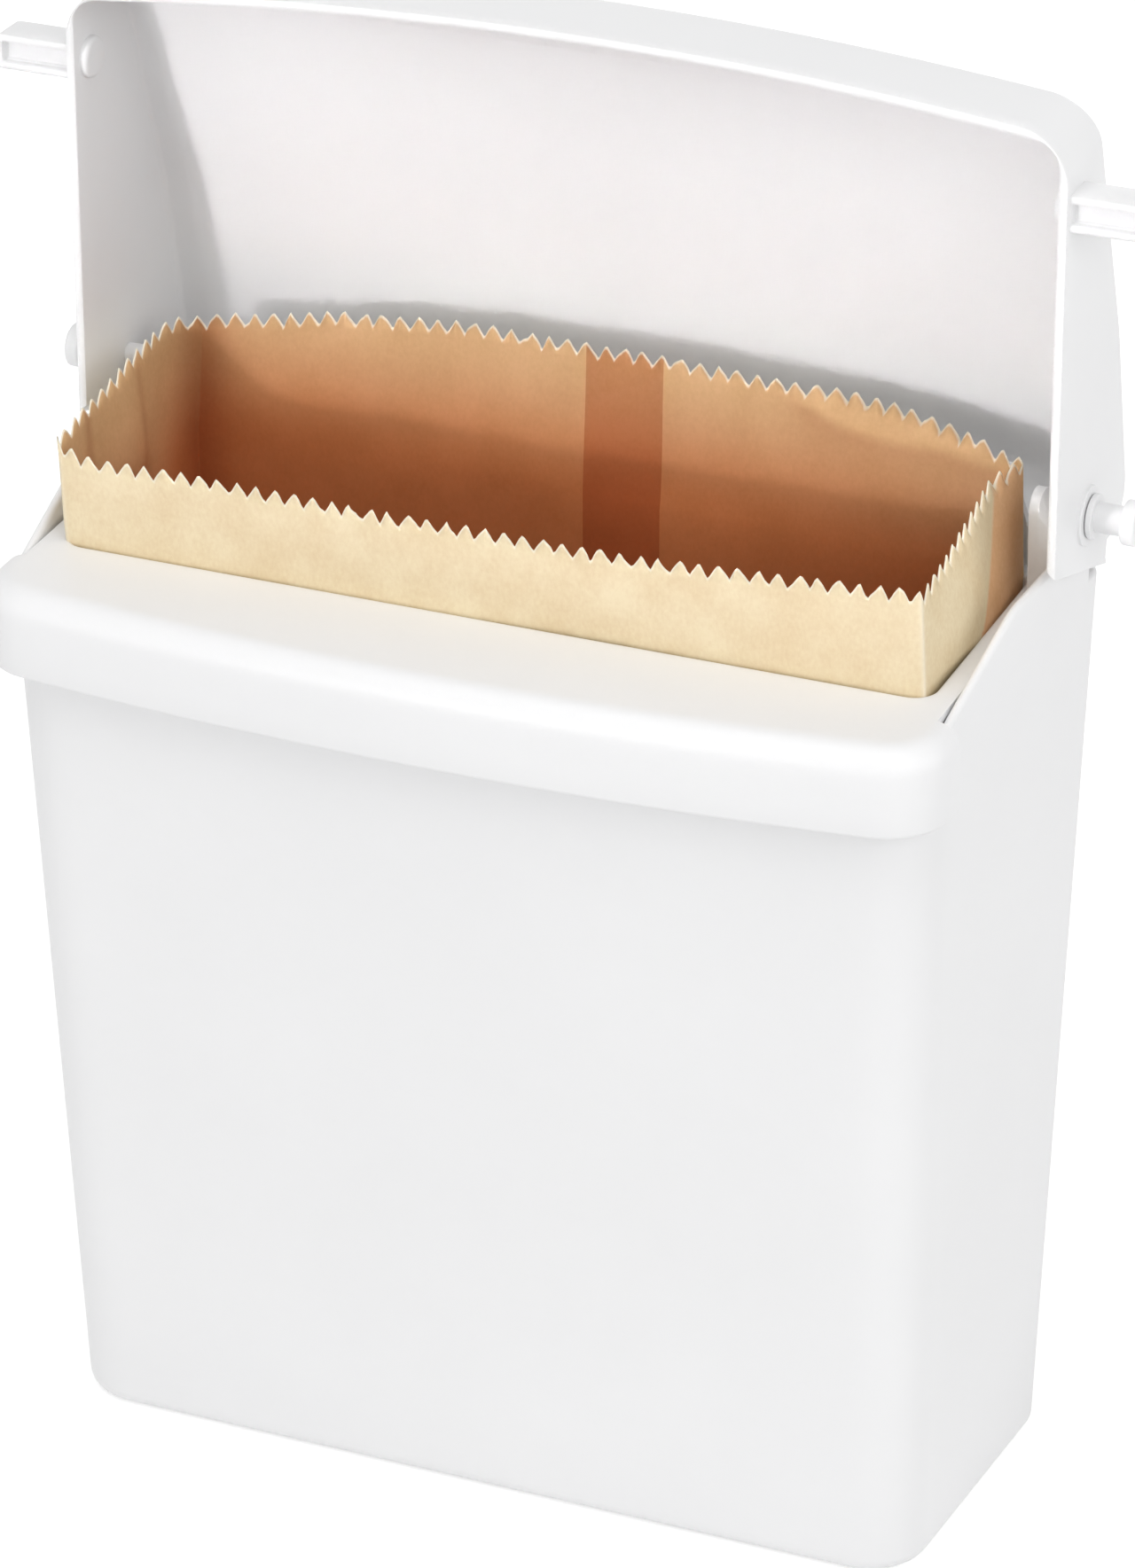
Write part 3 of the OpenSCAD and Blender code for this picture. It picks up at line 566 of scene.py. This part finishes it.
# The zigzag of the mouth: every point of the top row drops by a share of the tooth's height, so that the
# row runs from tip to notch, with teeth a little uneven in height and spacing, as a worn blade leaves them
teeth = bpy.data.node_groups.new("zigzag_mouth", "GeometryNodeTree")
teeth.interface.new_socket("Paper", in_out="INPUT", socket_type="NodeSocketGeometry")
sizes = {name: teeth.interface.new_socket(name, in_out="INPUT", socket_type="NodeSocketFloat")
         for name in ("Pitch", "Height", "Unevenness")}
teeth.interface.new_socket("Paper", in_out="OUTPUT", socket_type="NodeSocketGeometry")
t_nodes, t_links = teeth.nodes, teeth.links
given, done = t_nodes.new("NodeGroupInput"), t_nodes.new("NodeGroupOutput")


def stored(name):
    """Number stored on each point of the paper."""
    node = t_nodes.new("GeometryNodeInputNamedAttribute")
    node.data_type = "FLOAT"
    node.inputs["Name"].default_value = name
    return node.outputs["Attribute"]


uneven = t_nodes.new("ShaderNodeTexNoise")
uneven.noise_dimensions = "1D"
uneven.inputs["Scale"].default_value = uneven_scale
t_links.new(stored("along"), uneven.inputs["W"])
off_middle = maths(t_nodes, t_links, "SUBTRACT", uneven.outputs["Fac"], 0.5)
drift = maths(t_nodes, t_links, "MULTIPLY", off_middle, given.outputs["Unevenness"])
even_tooth = maths(t_nodes, t_links, "DIVIDE", stored("along"), given.outputs["Pitch"])
tooth = maths(t_nodes, t_links, "ADD", even_tooth, drift)
half_zigzag = maths(t_nodes, t_links, "PINGPONG", tooth, 0.5)
zigzag = maths(t_nodes, t_links, "MULTIPLY", half_zigzag, 2)
notch = maths(t_nodes, t_links, "POWER", zigzag, tooth_curve)
height_share = maths(t_nodes, t_links, "ADD", drift, tooth_share)
depth = maths(t_nodes, t_links, "MULTIPLY", given.outputs["Height"], height_share)
drop = maths(t_nodes, t_links, "MULTIPLY", notch, depth)
lip_drop = maths(t_nodes, t_links, "MULTIPLY", drop, stored("lip"))
fall = t_nodes.new("ShaderNodeCombineXYZ")
t_links.new(maths(t_nodes, t_links, "MULTIPLY", lip_drop, -1), fall.inputs["Z"])
move = t_nodes.new("GeometryNodeSetPosition")
t_links.new(given.outputs["Paper"], move.inputs["Geometry"])
t_links.new(fall.outputs["Vector"], move.inputs["Offset"])
whole = t_nodes.new("GeometryNodeRealizeInstances")
t_links.new(move.outputs["Geometry"], whole.inputs["Geometry"])
dress = t_nodes.new("GeometryNodeSetMaterial")
dress.inputs["Material"].default_value = kraft_outside
t_links.new(whole.outputs["Geometry"], dress.inputs["Geometry"])
t_links.new(dress.outputs["Geometry"], done.inputs["Paper"])

bag = bpy.data.objects.new("kraft_bag", bag_mesh)
bpy.context.scene.collection.objects.link(bag)
cutter = bag.modifiers.new("zigzag", "NODES")
cutter.node_group = teeth
for name, value in (("Pitch", tooth_pitch), ("Height", tooth_h), ("Unevenness", unevenness)):
    cutter[sizes[name].identifier] = value
cut_bag = bpy.data.meshes.new_from_object(bag.evaluated_get(bpy.context.evaluated_depsgraph_get()))
bag.modifiers.clear()
bag.data = cut_bag
cut_bag.name = "kraft_bag"
places = np.empty(3*len(cut_bag.vertices))
cut_bag.vertices.foreach_get("co", places)
z_by_row = places[2::3][:-1].reshape(len(rows), columns)

# Painted shade: the paper darkens downwards from the line of the tips. The left end faces the light, so its
# painted shade grows more slowly, and the back beside it has more painted shade.
lit = np.where(panel == left_panel, np.interp(y_along, (28*mm, 44*mm), (1, 0)), 0)
unlit = np.where(panel == back_panel, np.interp(x_along, (-110*mm, -50*mm), (1, 0)), 0)
lit_slower, lit_more, unlit_more = 0.45, 4*mm, 7*mm
shade = (mouth_z - z_by_row)*(1 - lit_slower*lit) + lit_more*lit + unlit_more*unlit
# Painted highlight: the outer edges of the front, where the bag was folded flat in its box, are made paler
off_edge = np.minimum(np.abs(run - run[np.searchsorted(panel, right_panel)]), run)
highlight_w, highlight_share = 0.9*mm, 0.55
edge_highlight = np.tile(highlight_share*np.exp(-(off_edge/highlight_w)**2), len(rows))
store(cut_bag, "below", z_by_row[-1] - z_by_row, deck_h)
store(cut_bag, "shade", shade, deck_h)
# Painted shade at the inner corner, the creases, behind the gusset's crease and under the turned-over part
store(cut_bag, "fold_shade", fold_shades, 0)
store(cut_bag, "edge_highlight", edge_highlight, 0)
cut_bag.materials.clear()
for paper in (kraft_outside, kraft_inside_shaded, kraft_edge):
    cut_bag.materials.append(paper)
cut_bag.shade_smooth()
wall = bag.modifiers.new("thickness", "SOLIDIFY")
wall.thickness = paper_t
wall.offset = -1
wall.material_offset = 1
wall.material_offset_rim = 2
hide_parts("paper_bag")
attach(bag, "bin")

# Lid
# A deep hood moulded in white plastic, open below and behind, with a sloping top that bends once and rolls
# down at the rear. It turns on pegs through its side walls, and stands fully open here.
lid_half, lid_wall, lid_draft = 138*mm, 2.5*mm, 0.8*mm
lid_rim = 253.5*mm
lid_front, lid_front_lean, lid_bow = -68.5*mm, 2*mm, 8.5*mm
lid_corner_r, lid_inner_r, lid_edge_r, lid_bend_r, lid_rear_r = 13*mm, 6*mm, 4*mm, 70*mm, 14*mm
lid_front_top = (lid_front - lid_front_lean, 280.5*mm)
lid_bend = (-1*mm, 303.5*mm)
lid_rear_top = (42*mm, 312.5*mm)
lid_rear_foot = (50*mm, lid_rim)
lid_rear_lean = math.radians(11.5)
lip_z = 297*mm
open_angle = math.radians(92)
rim_round, lid_least_r = 0.8*mm, 0.6*mm
front_top_steps, bend_steps, rear_top_steps, roll_steps, lip_steps = 14, 9, 10, 17, 3
half_front_steps, wall_rings, fade_steps, across_points = 29, 7, 8, 41


def swing(points):
    """Points of the closed lid, turned open about the hinge."""
    points = np.asarray(points, float)
    y, z = points[..., 1] - hinge_y, points[..., 2] - hinge_z
    c, s = math.cos(-open_angle), math.sin(-open_angle)
    return np.stack((points[..., 0], hinge_y + c*y - s*z, hinge_z + s*y + c*z), axis=-1)


def meet(p, u, q, v):
    """Place where two lines in side view meet."""
    return p + u*((q - p)[0]*v[1] - (q - p)[1]*v[0])/(u[0]*v[1] - u[1]*v[0])


def rounded(corner, along, leave, r, steps):
    """Arc of radius r in side view at a corner, between the directions of arriving and leaving."""
    turn = math.acos(np.clip(along @ leave, -1, 1))
    start = corner - along*r*math.tan(turn/2)
    side = np.array((along[1], -along[0]))
    middle = start + side*r
    a = np.linspace(0, turn, steps)
    return middle + r*(np.outer(np.cos(a), -side) + np.outer(np.sin(a), along))


def straight(p, q, steps):
    """Evenly spaced points from p towards q, without q."""
    return p + np.outer(np.arange(steps)/steps, q - p)


def lid_side(inset, corner_r):
    """Side view of the lid's top, drawn in by inset, from front corner to rear lip: points and normals."""
    front_up = np.array((lid_bend[0] - lid_front_top[0], lid_bend[1] - lid_front_top[1]))
    rear_up = np.array((lid_rear_top[0] - lid_bend[0], lid_rear_top[1] - lid_bend[1]))
    front_up, rear_up = front_up/np.linalg.norm(front_up), rear_up/np.linalg.norm(rear_up)
    down = np.array((-math.sin(lid_rear_lean), -math.cos(lid_rear_lean)))
    inward = [np.array((d[1], -d[0])) for d in (front_up, rear_up, down)]
    p_front = np.array(lid_front_top) + inset*inward[0]
    p_rear = np.array(lid_bend) + inset*inward[1]
    p_foot = np.array(lid_rear_foot) + inset*inward[2]
    bend = meet(p_front, front_up, p_rear, rear_up)
    back = meet(p_rear, rear_up, p_foot, down)
    start = p_front + front_up*(lid_front_top[0] + inset + corner_r - p_front[0])/front_up[0]
    lip = p_foot + down*(lip_z - p_foot[1])/down[1]
    bent = rounded(bend, front_up, rear_up, lid_bend_r - inset, bend_steps)
    rolled = rounded(back, rear_up, down, lid_rear_r - inset, roll_steps)
    line = np.vstack((straight(start, bent[0], front_top_steps), bent[:-1],
                      straight(bent[-1], rolled[0], rear_top_steps), rolled[:-1],
                      straight(rolled[-1], lip, lip_steps), lip))
    step = np.gradient(line, axis=0)
    step /= np.linalg.norm(step, axis=1)[:, None]
    return line, np.column_stack((step[:, 1], -step[:, 0]))


def lid_skin(inset):
    """Outer or inner skin of the lid, shut: rings from rim to top edge, and rows across the top."""
    corner_r = lid_inner_r if inset else lid_corner_r
    line, inward = lid_side(inset, corner_r)
    r = max(lid_edge_r - inset, lid_least_r)
    half = lid_half - inset
    fx = half - corner_r
    # Half path in plan, from the middle of the front round the corner and back along the side
    flat = np.linspace(0, 1, half_front_steps + 1)[:-1]
    bend = np.radians(-90 + 90*np.arange(corner_steps + 1)/corner_steps)
    front = np.vstack((np.column_stack((flat*fx, np.zeros(half_front_steps))),
                       np.column_stack((fx + corner_r*np.cos(bend), corner_r + corner_r*np.sin(bend)))))
    front[:, 1] += lid_front + inset - lid_bow*np.clip(1 - (front[:, 0]/half)**2, 0, None)
    n_front, n_side = len(front), len(line) - 1
    out = np.vstack((np.tile((0, -1), (half_front_steps, 1)), np.column_stack((np.cos(bend), np.sin(bend))),
                     np.tile((1, 0), (n_side, 1))))
    foot_y = np.linspace(front[-1, 1], lid_rear_foot[0] - inset*math.cos(lid_rear_lean), n_side + 1)[1:]
    side = np.full(n_side, half)
    rim = level(np.vstack((front, np.column_stack((side, foot_y)))), lid_rim + rim_round)
    slope = (line[1, 1] - line[0, 1])/(line[1, 0] - line[0, 0])
    front_z = line[0, 1] + (front[:, 1] - lid_front_lean - line[0, 0])*slope
    front_z = np.maximum(front_z, lid_front_top[1] - inset)
    top = np.vstack((level(front - (0, lid_front_lean), front_z), np.column_stack((side, line[1:]))))
    top[:, :2] -= lid_draft*out
    # The top edge is rounded from the way out of the wall to the way down, square to the top at the sides
    down = np.vstack((np.tile((0, 0, -1.0), (n_front, 1)),
                      np.column_stack((np.zeros(n_side), inward[1:]))))
    fade = np.clip(np.arange(n_side)/fade_steps, 0, 1)[:, None]
    down[n_front:] = (1 - fade)*(0, 0, -1) + fade*down[n_front:]
    down /= np.linalg.norm(down, axis=1)[:, None]
    out = np.column_stack((out, np.zeros(len(out))))
    shoulder = top + r*down
    half_rings = [rim + (shoulder - rim)*t for t in np.linspace(0, 1, wall_rings)]
    half_rings += [top - r*out + r*down + r*(math.cos(a)*out - math.sin(a)*down)
                   for a in np.radians(np.arange(15, 91, 15))]
    rings = [np.vstack((h[::-1]*(-1, 1, 1), h[1:])) for h in half_rings]
    across = np.sin(np.linspace(-1, 1, across_points)*math.pi/2)
    rows = [np.column_stack((across*p[0], np.tile(p[1:], (across_points, 1)))) for p in half_rings[-1]]
    return np.array(rings), np.array(rows)


def grid_faces(rows, columns, first, flip):
    """Quads of a grid of points, stored row by row from the index first."""
    k, i = np.meshgrid(np.arange(rows - 1), np.arange(columns - 1), indexing="ij")
    a = (first + k*columns + i).ravel()
    quads = np.column_stack((a, a + 1, a + columns + 1, a + columns))
    return (quads[:, ::-1] if flip else quads).tolist()


# Outer and inner skin, joined round their open border by a rounded hem
lid_points, lid_faces, borders = [], [], []
for inset, flip in ((0.0, False), (lid_wall, True)):
    rings, top_rows = lid_skin(inset)
    for grid in (rings, top_rows):
        lid_faces += grid_faces(*grid.shape[:2], len(lid_points), flip)
        lid_points += grid.reshape(-1, 3).tolist()
    borders.append(np.vstack((rings[0], rings[1:, -1], top_rows[-1][::-1][1:-1], rings[1:, 0][::-1])))
n_rim, n_side = rings.shape[1], rings.shape[0] - 1
away = np.tile((0.0, 0.0, -1.0), (len(borders[0]), 1))
rear_away = (0, math.cos(lid_rear_lean), -math.sin(lid_rear_lean))
away[n_rim:n_rim + n_side] = away[-n_side:] = rear_away
away[n_rim + n_side:-n_side] = (0, -math.sin(lid_rear_lean), -math.cos(lid_rear_lean))
middle, reach = (borders[0] + borders[1])/2, (borders[0] - borders[1])/2
hem = [middle + reach*math.cos(a) + away*rim_round*math.sin(a) for a in np.radians(np.arange(0, 181, 30))]
hem_points, hem_faces = skin(hem, ends=False)
joined = np.vstack((lid_points, hem_points))
joined_faces = lid_faces + [tuple(len(lid_points) + v for v in f) for f in hem_faces]
round_steps = 48


def lathe(profile, side, y, z, ends=True):
    """Turned piece on one side of the bin, round an axis across it: profile of (radius, x) end to end."""
    a = np.linspace(0, 2*math.pi, round_steps, endpoint=False)
    rings = [np.column_stack((np.full(round_steps, side*x), y + r*np.cos(a), z + r*np.sin(a)))
             for r, x in profile]
    return skin(rings, ends=ends)


# One long drill makes the bores for the pegs in both walls
peg_play, drill_half = 0.05*mm, 145*mm
bore_r = peg_r + peg_play
hood = piece("hood", [(swing(joined), joined_faces)], white)
drill = piece("drill", [lathe(((bore_r, -drill_half), (bore_r, drill_half)), 1, hinge_y, hinge_z)], white)
drilling = hood.modifiers.new("bores", "BOOLEAN")
drilling.operation, drilling.solver, drilling.object = "DIFFERENCE", "EXACT", drill
drilled = bpy.data.meshes.new_from_object(hood.evaluated_get(bpy.context.evaluated_depsgraph_get()))
shells = [([tuple(v.co) for v in drilled.vertices], [tuple(f.vertices) for f in drilled.polygons])]
for tool in (hood, drill):
    bpy.data.objects.remove(tool)

# A low round boss stands round each bore on the outside
boss_r, boss_h, boss_root, boss_edge = 8*mm, 0.6*mm, 1*mm, 0.25*mm
boss_foot, boss_top = lid_half - boss_root, lid_half + boss_h
boss = [(boss_r, boss_foot), (boss_r, boss_top - boss_edge), (boss_r - boss_edge, boss_top),
        (bore_r, boss_top), (bore_r, boss_foot), (boss_r, boss_foot)]
for side in (-1, 1):
    shells.append(lathe(boss, side, hinge_y, hinge_z, ends=False))
lid = piece("lid", shells, white, crease=30)
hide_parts("lid_shell")
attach(lid, "lid")

# Lift arms and caps
# Two short straight arms in the same white plastic, one on each side near the lid's front, by which it is
# lifted. Each is hollow below, and has a stud through the lid's wall, held inside by a round push-on cap.
arm_y, arm_z, arm_w, arm_t = -48.25*mm, 262*mm, 9.5*mm, 13*mm
arm_in, arm_out, arm_wall, arm_channel = 136.4*mm, 159.8*mm, 2*mm, 3*mm
arm_round, arm_least_r, channel_round = 1.5*mm, 0.4*mm, 0.6*mm
stud_r, stud_edge, stud_root = 3*mm, 0.4*mm, 1*mm
cap_r, cap_t, cap_side, cap_round = 5.6*mm, 2.2*mm, 1*mm, 1.2*mm
crown_r, crown_h = 1*mm, 0.1*mm
arm_shares = np.linspace(0.1, 0.9, 5)


def arm_ring(z, inset, side):
    """Ring round the arm at a height above its middle, drawn in by inset."""
    half, r = (arm_out - arm_in)/2 - inset, max(arm_round - inset, arm_least_r)
    plan = outline(half, half, -arm_w/2 + inset, arm_w/2 - inset, r, r, arm_shares)
    return level(plan + (side*(arm_in + arm_out)/2, arm_y), arm_z + z)


low, high, hem_half = -arm_t/2, arm_t/2, arm_wall/2
channel_top = low + arm_channel
cap_x = lid_half - lid_wall
cap_end = cap_x - cap_t
stud = ((stud_r - stud_edge, cap_end), (stud_r, cap_end + stud_edge), (stud_r, arm_in + stud_root))
cap_profile = [(cap_r, cap_x), (cap_r, cap_x - cap_side)]
cap_profile += [(cap_r - cap_round*(1 - math.cos(a)), cap_x - cap_side - cap_round*math.sin(a))
                for a in np.radians((22, 45, 67, 90))]
cap_profile += [(cap_r - 2*cap_round, cap_end - crown_h), (crown_r, cap_end - 2*crown_h)]
for side, end in ((-1, "left"), (1, "right")):
    rings = [arm_ring(channel_top, arm_wall + channel_round, side),
             arm_ring(channel_top - channel_round, arm_wall, side)]
    rings += [arm_ring(low + channel_round*(1 - math.sin(a)), hem_half*(1 + math.cos(a)), side)
              for a in np.radians((0, 30, 60, 90, 120, 150, 180))]
    rings += [arm_ring(high - arm_round*(1 - math.sin(a)), arm_round*(1 - math.cos(a)), side)
              for a in np.radians((0, 22.5, 45, 67.5, 90))]
    arm_points, arm_faces = skin(rings)
    stud_points, stud_faces = lathe(stud, side, arm_y, arm_z)
    arm = piece("arm_" + end, [(swing(arm_points), arm_faces), (swing(stud_points), stud_faces)], white)
    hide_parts("lift_arm_" + end)
    cap_points, cap_faces = lathe(cap_profile, side, arm_y, arm_z)
    cap = piece("cap_" + end, [(swing(cap_points), cap_faces)], white)
    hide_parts("arm_cap_" + end)
    for obj in (arm, cap):
        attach(obj, "lid")

# Hinge pegs and washers
# Turned-looking white pegs, moulded in one with a neck and a round head. Each is pressed into a lug of the
# bucket through the lid's side wall, with a thin washer between the lid and the neck.
washer_x, washer_t, neck_r, head_r = 138.9*mm, 1.6*mm, 4*mm, 6*mm
neck_x, head_x, peg_end = 140.5*mm, 147.9*mm, 151.9*mm
head_edge, tip_edge, neck_flare, washer_edge = 0.7*mm, 0.4*mm, 0.5*mm, 0.3*mm
head_crown_r, head_crown_h = 2*mm, 0.1*mm
quarter = np.radians((0, 30, 60, 90))
peg_profile = [(peg_r - tip_edge, lug_x), (peg_r, lug_x + tip_edge), (peg_r, neck_x), (neck_r, neck_x),
               (neck_r, head_x - neck_flare), (neck_r + neck_flare, head_x), (head_r - head_edge, head_x)]
peg_profile += [(head_r - head_edge*(1 - math.sin(a)), head_x + head_edge*(1 - math.cos(a)))
                for a in quarter[1:]]
peg_profile += [(head_r - head_edge*(1 - math.cos(a)), peg_end - head_edge*(1 - math.sin(a)))
                for a in quarter]
peg_profile += [(head_crown_r, peg_end + head_crown_h)]
washer_out = washer_x + washer_t
washer_profile = [(bore_r, washer_x), (head_r - washer_edge, washer_x), (head_r, washer_x + washer_edge),
                  (head_r, washer_out - washer_edge), (head_r - washer_edge, washer_out),
                  (bore_r, washer_out), (bore_r, washer_x)]
for side, end in ((-1, "left"), (1, "right")):
    peg = piece("peg_" + end, [lathe(peg_profile, side, hinge_y, hinge_z)], white)
    washer = piece("washer_" + end, [lathe(washer_profile, side, hinge_y, hinge_z, ends=False)], white)
    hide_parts("hinge_pin_" + end)
    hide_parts("hinge_washer_" + end)
    for obj in (peg, washer):
        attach(obj, "bin")

# Studio
# A white floor with the bin's soft shadow, soft boxes at the front left, front right, right, top and back,
# a small gridded lamp into the open lid, and a pale dome, seen by a long lens from above and to the right.
scene = bpy.context.scene
floor_half = 6.0
floor_mesh = bpy.data.meshes.new("floor")
floor_mesh.from_pydata([(x*floor_half, y*floor_half, 0) for x, y in ((-1, -1), (1, -1), (1, 1), (-1, 1))],
                       [], [(0, 1, 2, 3)])
floor = bpy.data.objects.new("floor", floor_mesh)
scene.collection.objects.link(floor)


def mirrored_or_seen(nodes, links):
    """One where the camera sees it, straight or in gloss or glass, and nought for the light it gives."""
    ray = nodes.new("ShaderNodeLightPath")
    seen = ray.outputs["Is Camera Ray"]
    for kind in ("Is Glossy Ray", "Is Transmission Ray"):
        seen = maths(nodes, links, "MAXIMUM", seen, ray.outputs[kind])
    return seen


floor_white = bpy.data.materials.new("floor_white")
nodes, links, shader, place = node_tree(floor_white)
shader.inputs["Base Color"].default_value = (0.86, 0.86, 0.86, 1)
shader.inputs["Roughness"].default_value = 0.9
shader.inputs["Emission Color"].default_value = (1, 1, 1, 1)
from_bin = nodes.new("ShaderNodeVectorMath")
from_bin.operation = "LENGTH"
links.new(place.outputs["Object"], from_bin.inputs[0])
whiter = span(nodes, links, from_bin.outputs["Value"], (0.6, 2.4), (0.45, 1))
glow = maths(nodes, links, "MULTIPLY", mirrored_or_seen(nodes, links), whiter)
links.new(glow, shader.inputs["Emission Strength"])
floor_mesh.materials.append(floor_white)

world = bpy.data.worlds.new("studio")
scene.world = world
world.use_nodes = True
nodes, links = world.node_tree.nodes, world.node_tree.links
dome = nodes["Background"]
dome.inputs["Color"].default_value = (1, 1, 1, 1)
strength = span(nodes, links, mirrored_or_seen(nodes, links), (0, 1), (0.42, 1))
links.new(strength, dome.inputs["Strength"])


def soft_box(name, place, aim, width, height, power, spread=180):
    """Rectangular soft box that faces a point; a grid on its front narrows the spread, in degrees."""
    light = bpy.data.lights.new(name, "AREA")
    light.shape = "RECTANGLE"
    light.size, light.size_y, light.energy = width, height, power
    light.spread = math.radians(spread)
    lamp = bpy.data.objects.new(name, light)
    lamp.location = place
    lamp.rotation_euler = (Vector(aim) - Vector(place)).to_track_quat("-Z", "Y").to_euler()
    scene.collection.objects.link(lamp)


bin_middle = (0, 0, 0.2)
soft_box("key", (-0.75, -2.25, 0.8), bin_middle, 0.6, 0.8, 13.3)
soft_box("top", (0, -0.5, 2.1), bin_middle, 1.6, 1.6, 15.5)
soft_box("fill", (2.0, 0.2, 0.7), bin_middle, 1.2, 1.2, 6.5)
soft_box("front_fill", (1.6, -1.2, 1.3), bin_middle, 1.2, 1.2, 11)
soft_box("back_fill", (-0.5, 2.3, 0.4), bin_middle, 1.6, 0.7, 6)
soft_box("lid_lamp", (-0.37, -1.2, 0.47), (0.02, 0.06, 0.329), 0.3, 0.08, 0.047, 7)

# The lens looks at a point in the bin; its place follows from the angles found from the photograph
image_w, image_h = 1280, 1769
camera_turn, camera_rise, camera_roll = math.radians(23.72), math.radians(28.28), math.radians(-0.96)
camera_aim, camera_away = Vector((5.6, 17, 182.2))*mm, 1786*mm
focal_px, centre_x, centre_y = 7585, 652, 903
back = Vector((math.sin(camera_turn)*math.cos(camera_rise), -math.cos(camera_turn)*math.cos(camera_rise),
               math.sin(camera_rise)))
right = Vector((math.cos(camera_turn), math.sin(camera_turn), 0))
up = back.cross(right)
lens = bpy.data.cameras.new("camera")
lens.sensor_fit = "VERTICAL"
lens.sensor_height = 36
lens.lens = focal_px/image_h*lens.sensor_height
lens.shift_x = (image_w/2 - centre_x)/image_h
lens.shift_y = (centre_y - image_h/2)/image_h
lens.clip_end = 50
camera = bpy.data.objects.new("camera", lens)
c, s = math.cos(camera_roll), math.sin(camera_roll)
turned = Matrix((right*c + up*s, up*c - right*s, back)).transposed().to_4x4()
camera.matrix_world = Matrix.Translation(camera_aim + back*camera_away) @ turned
scene.collection.objects.link(camera)
scene.camera = camera
scene.view_settings.view_transform = "Standard"
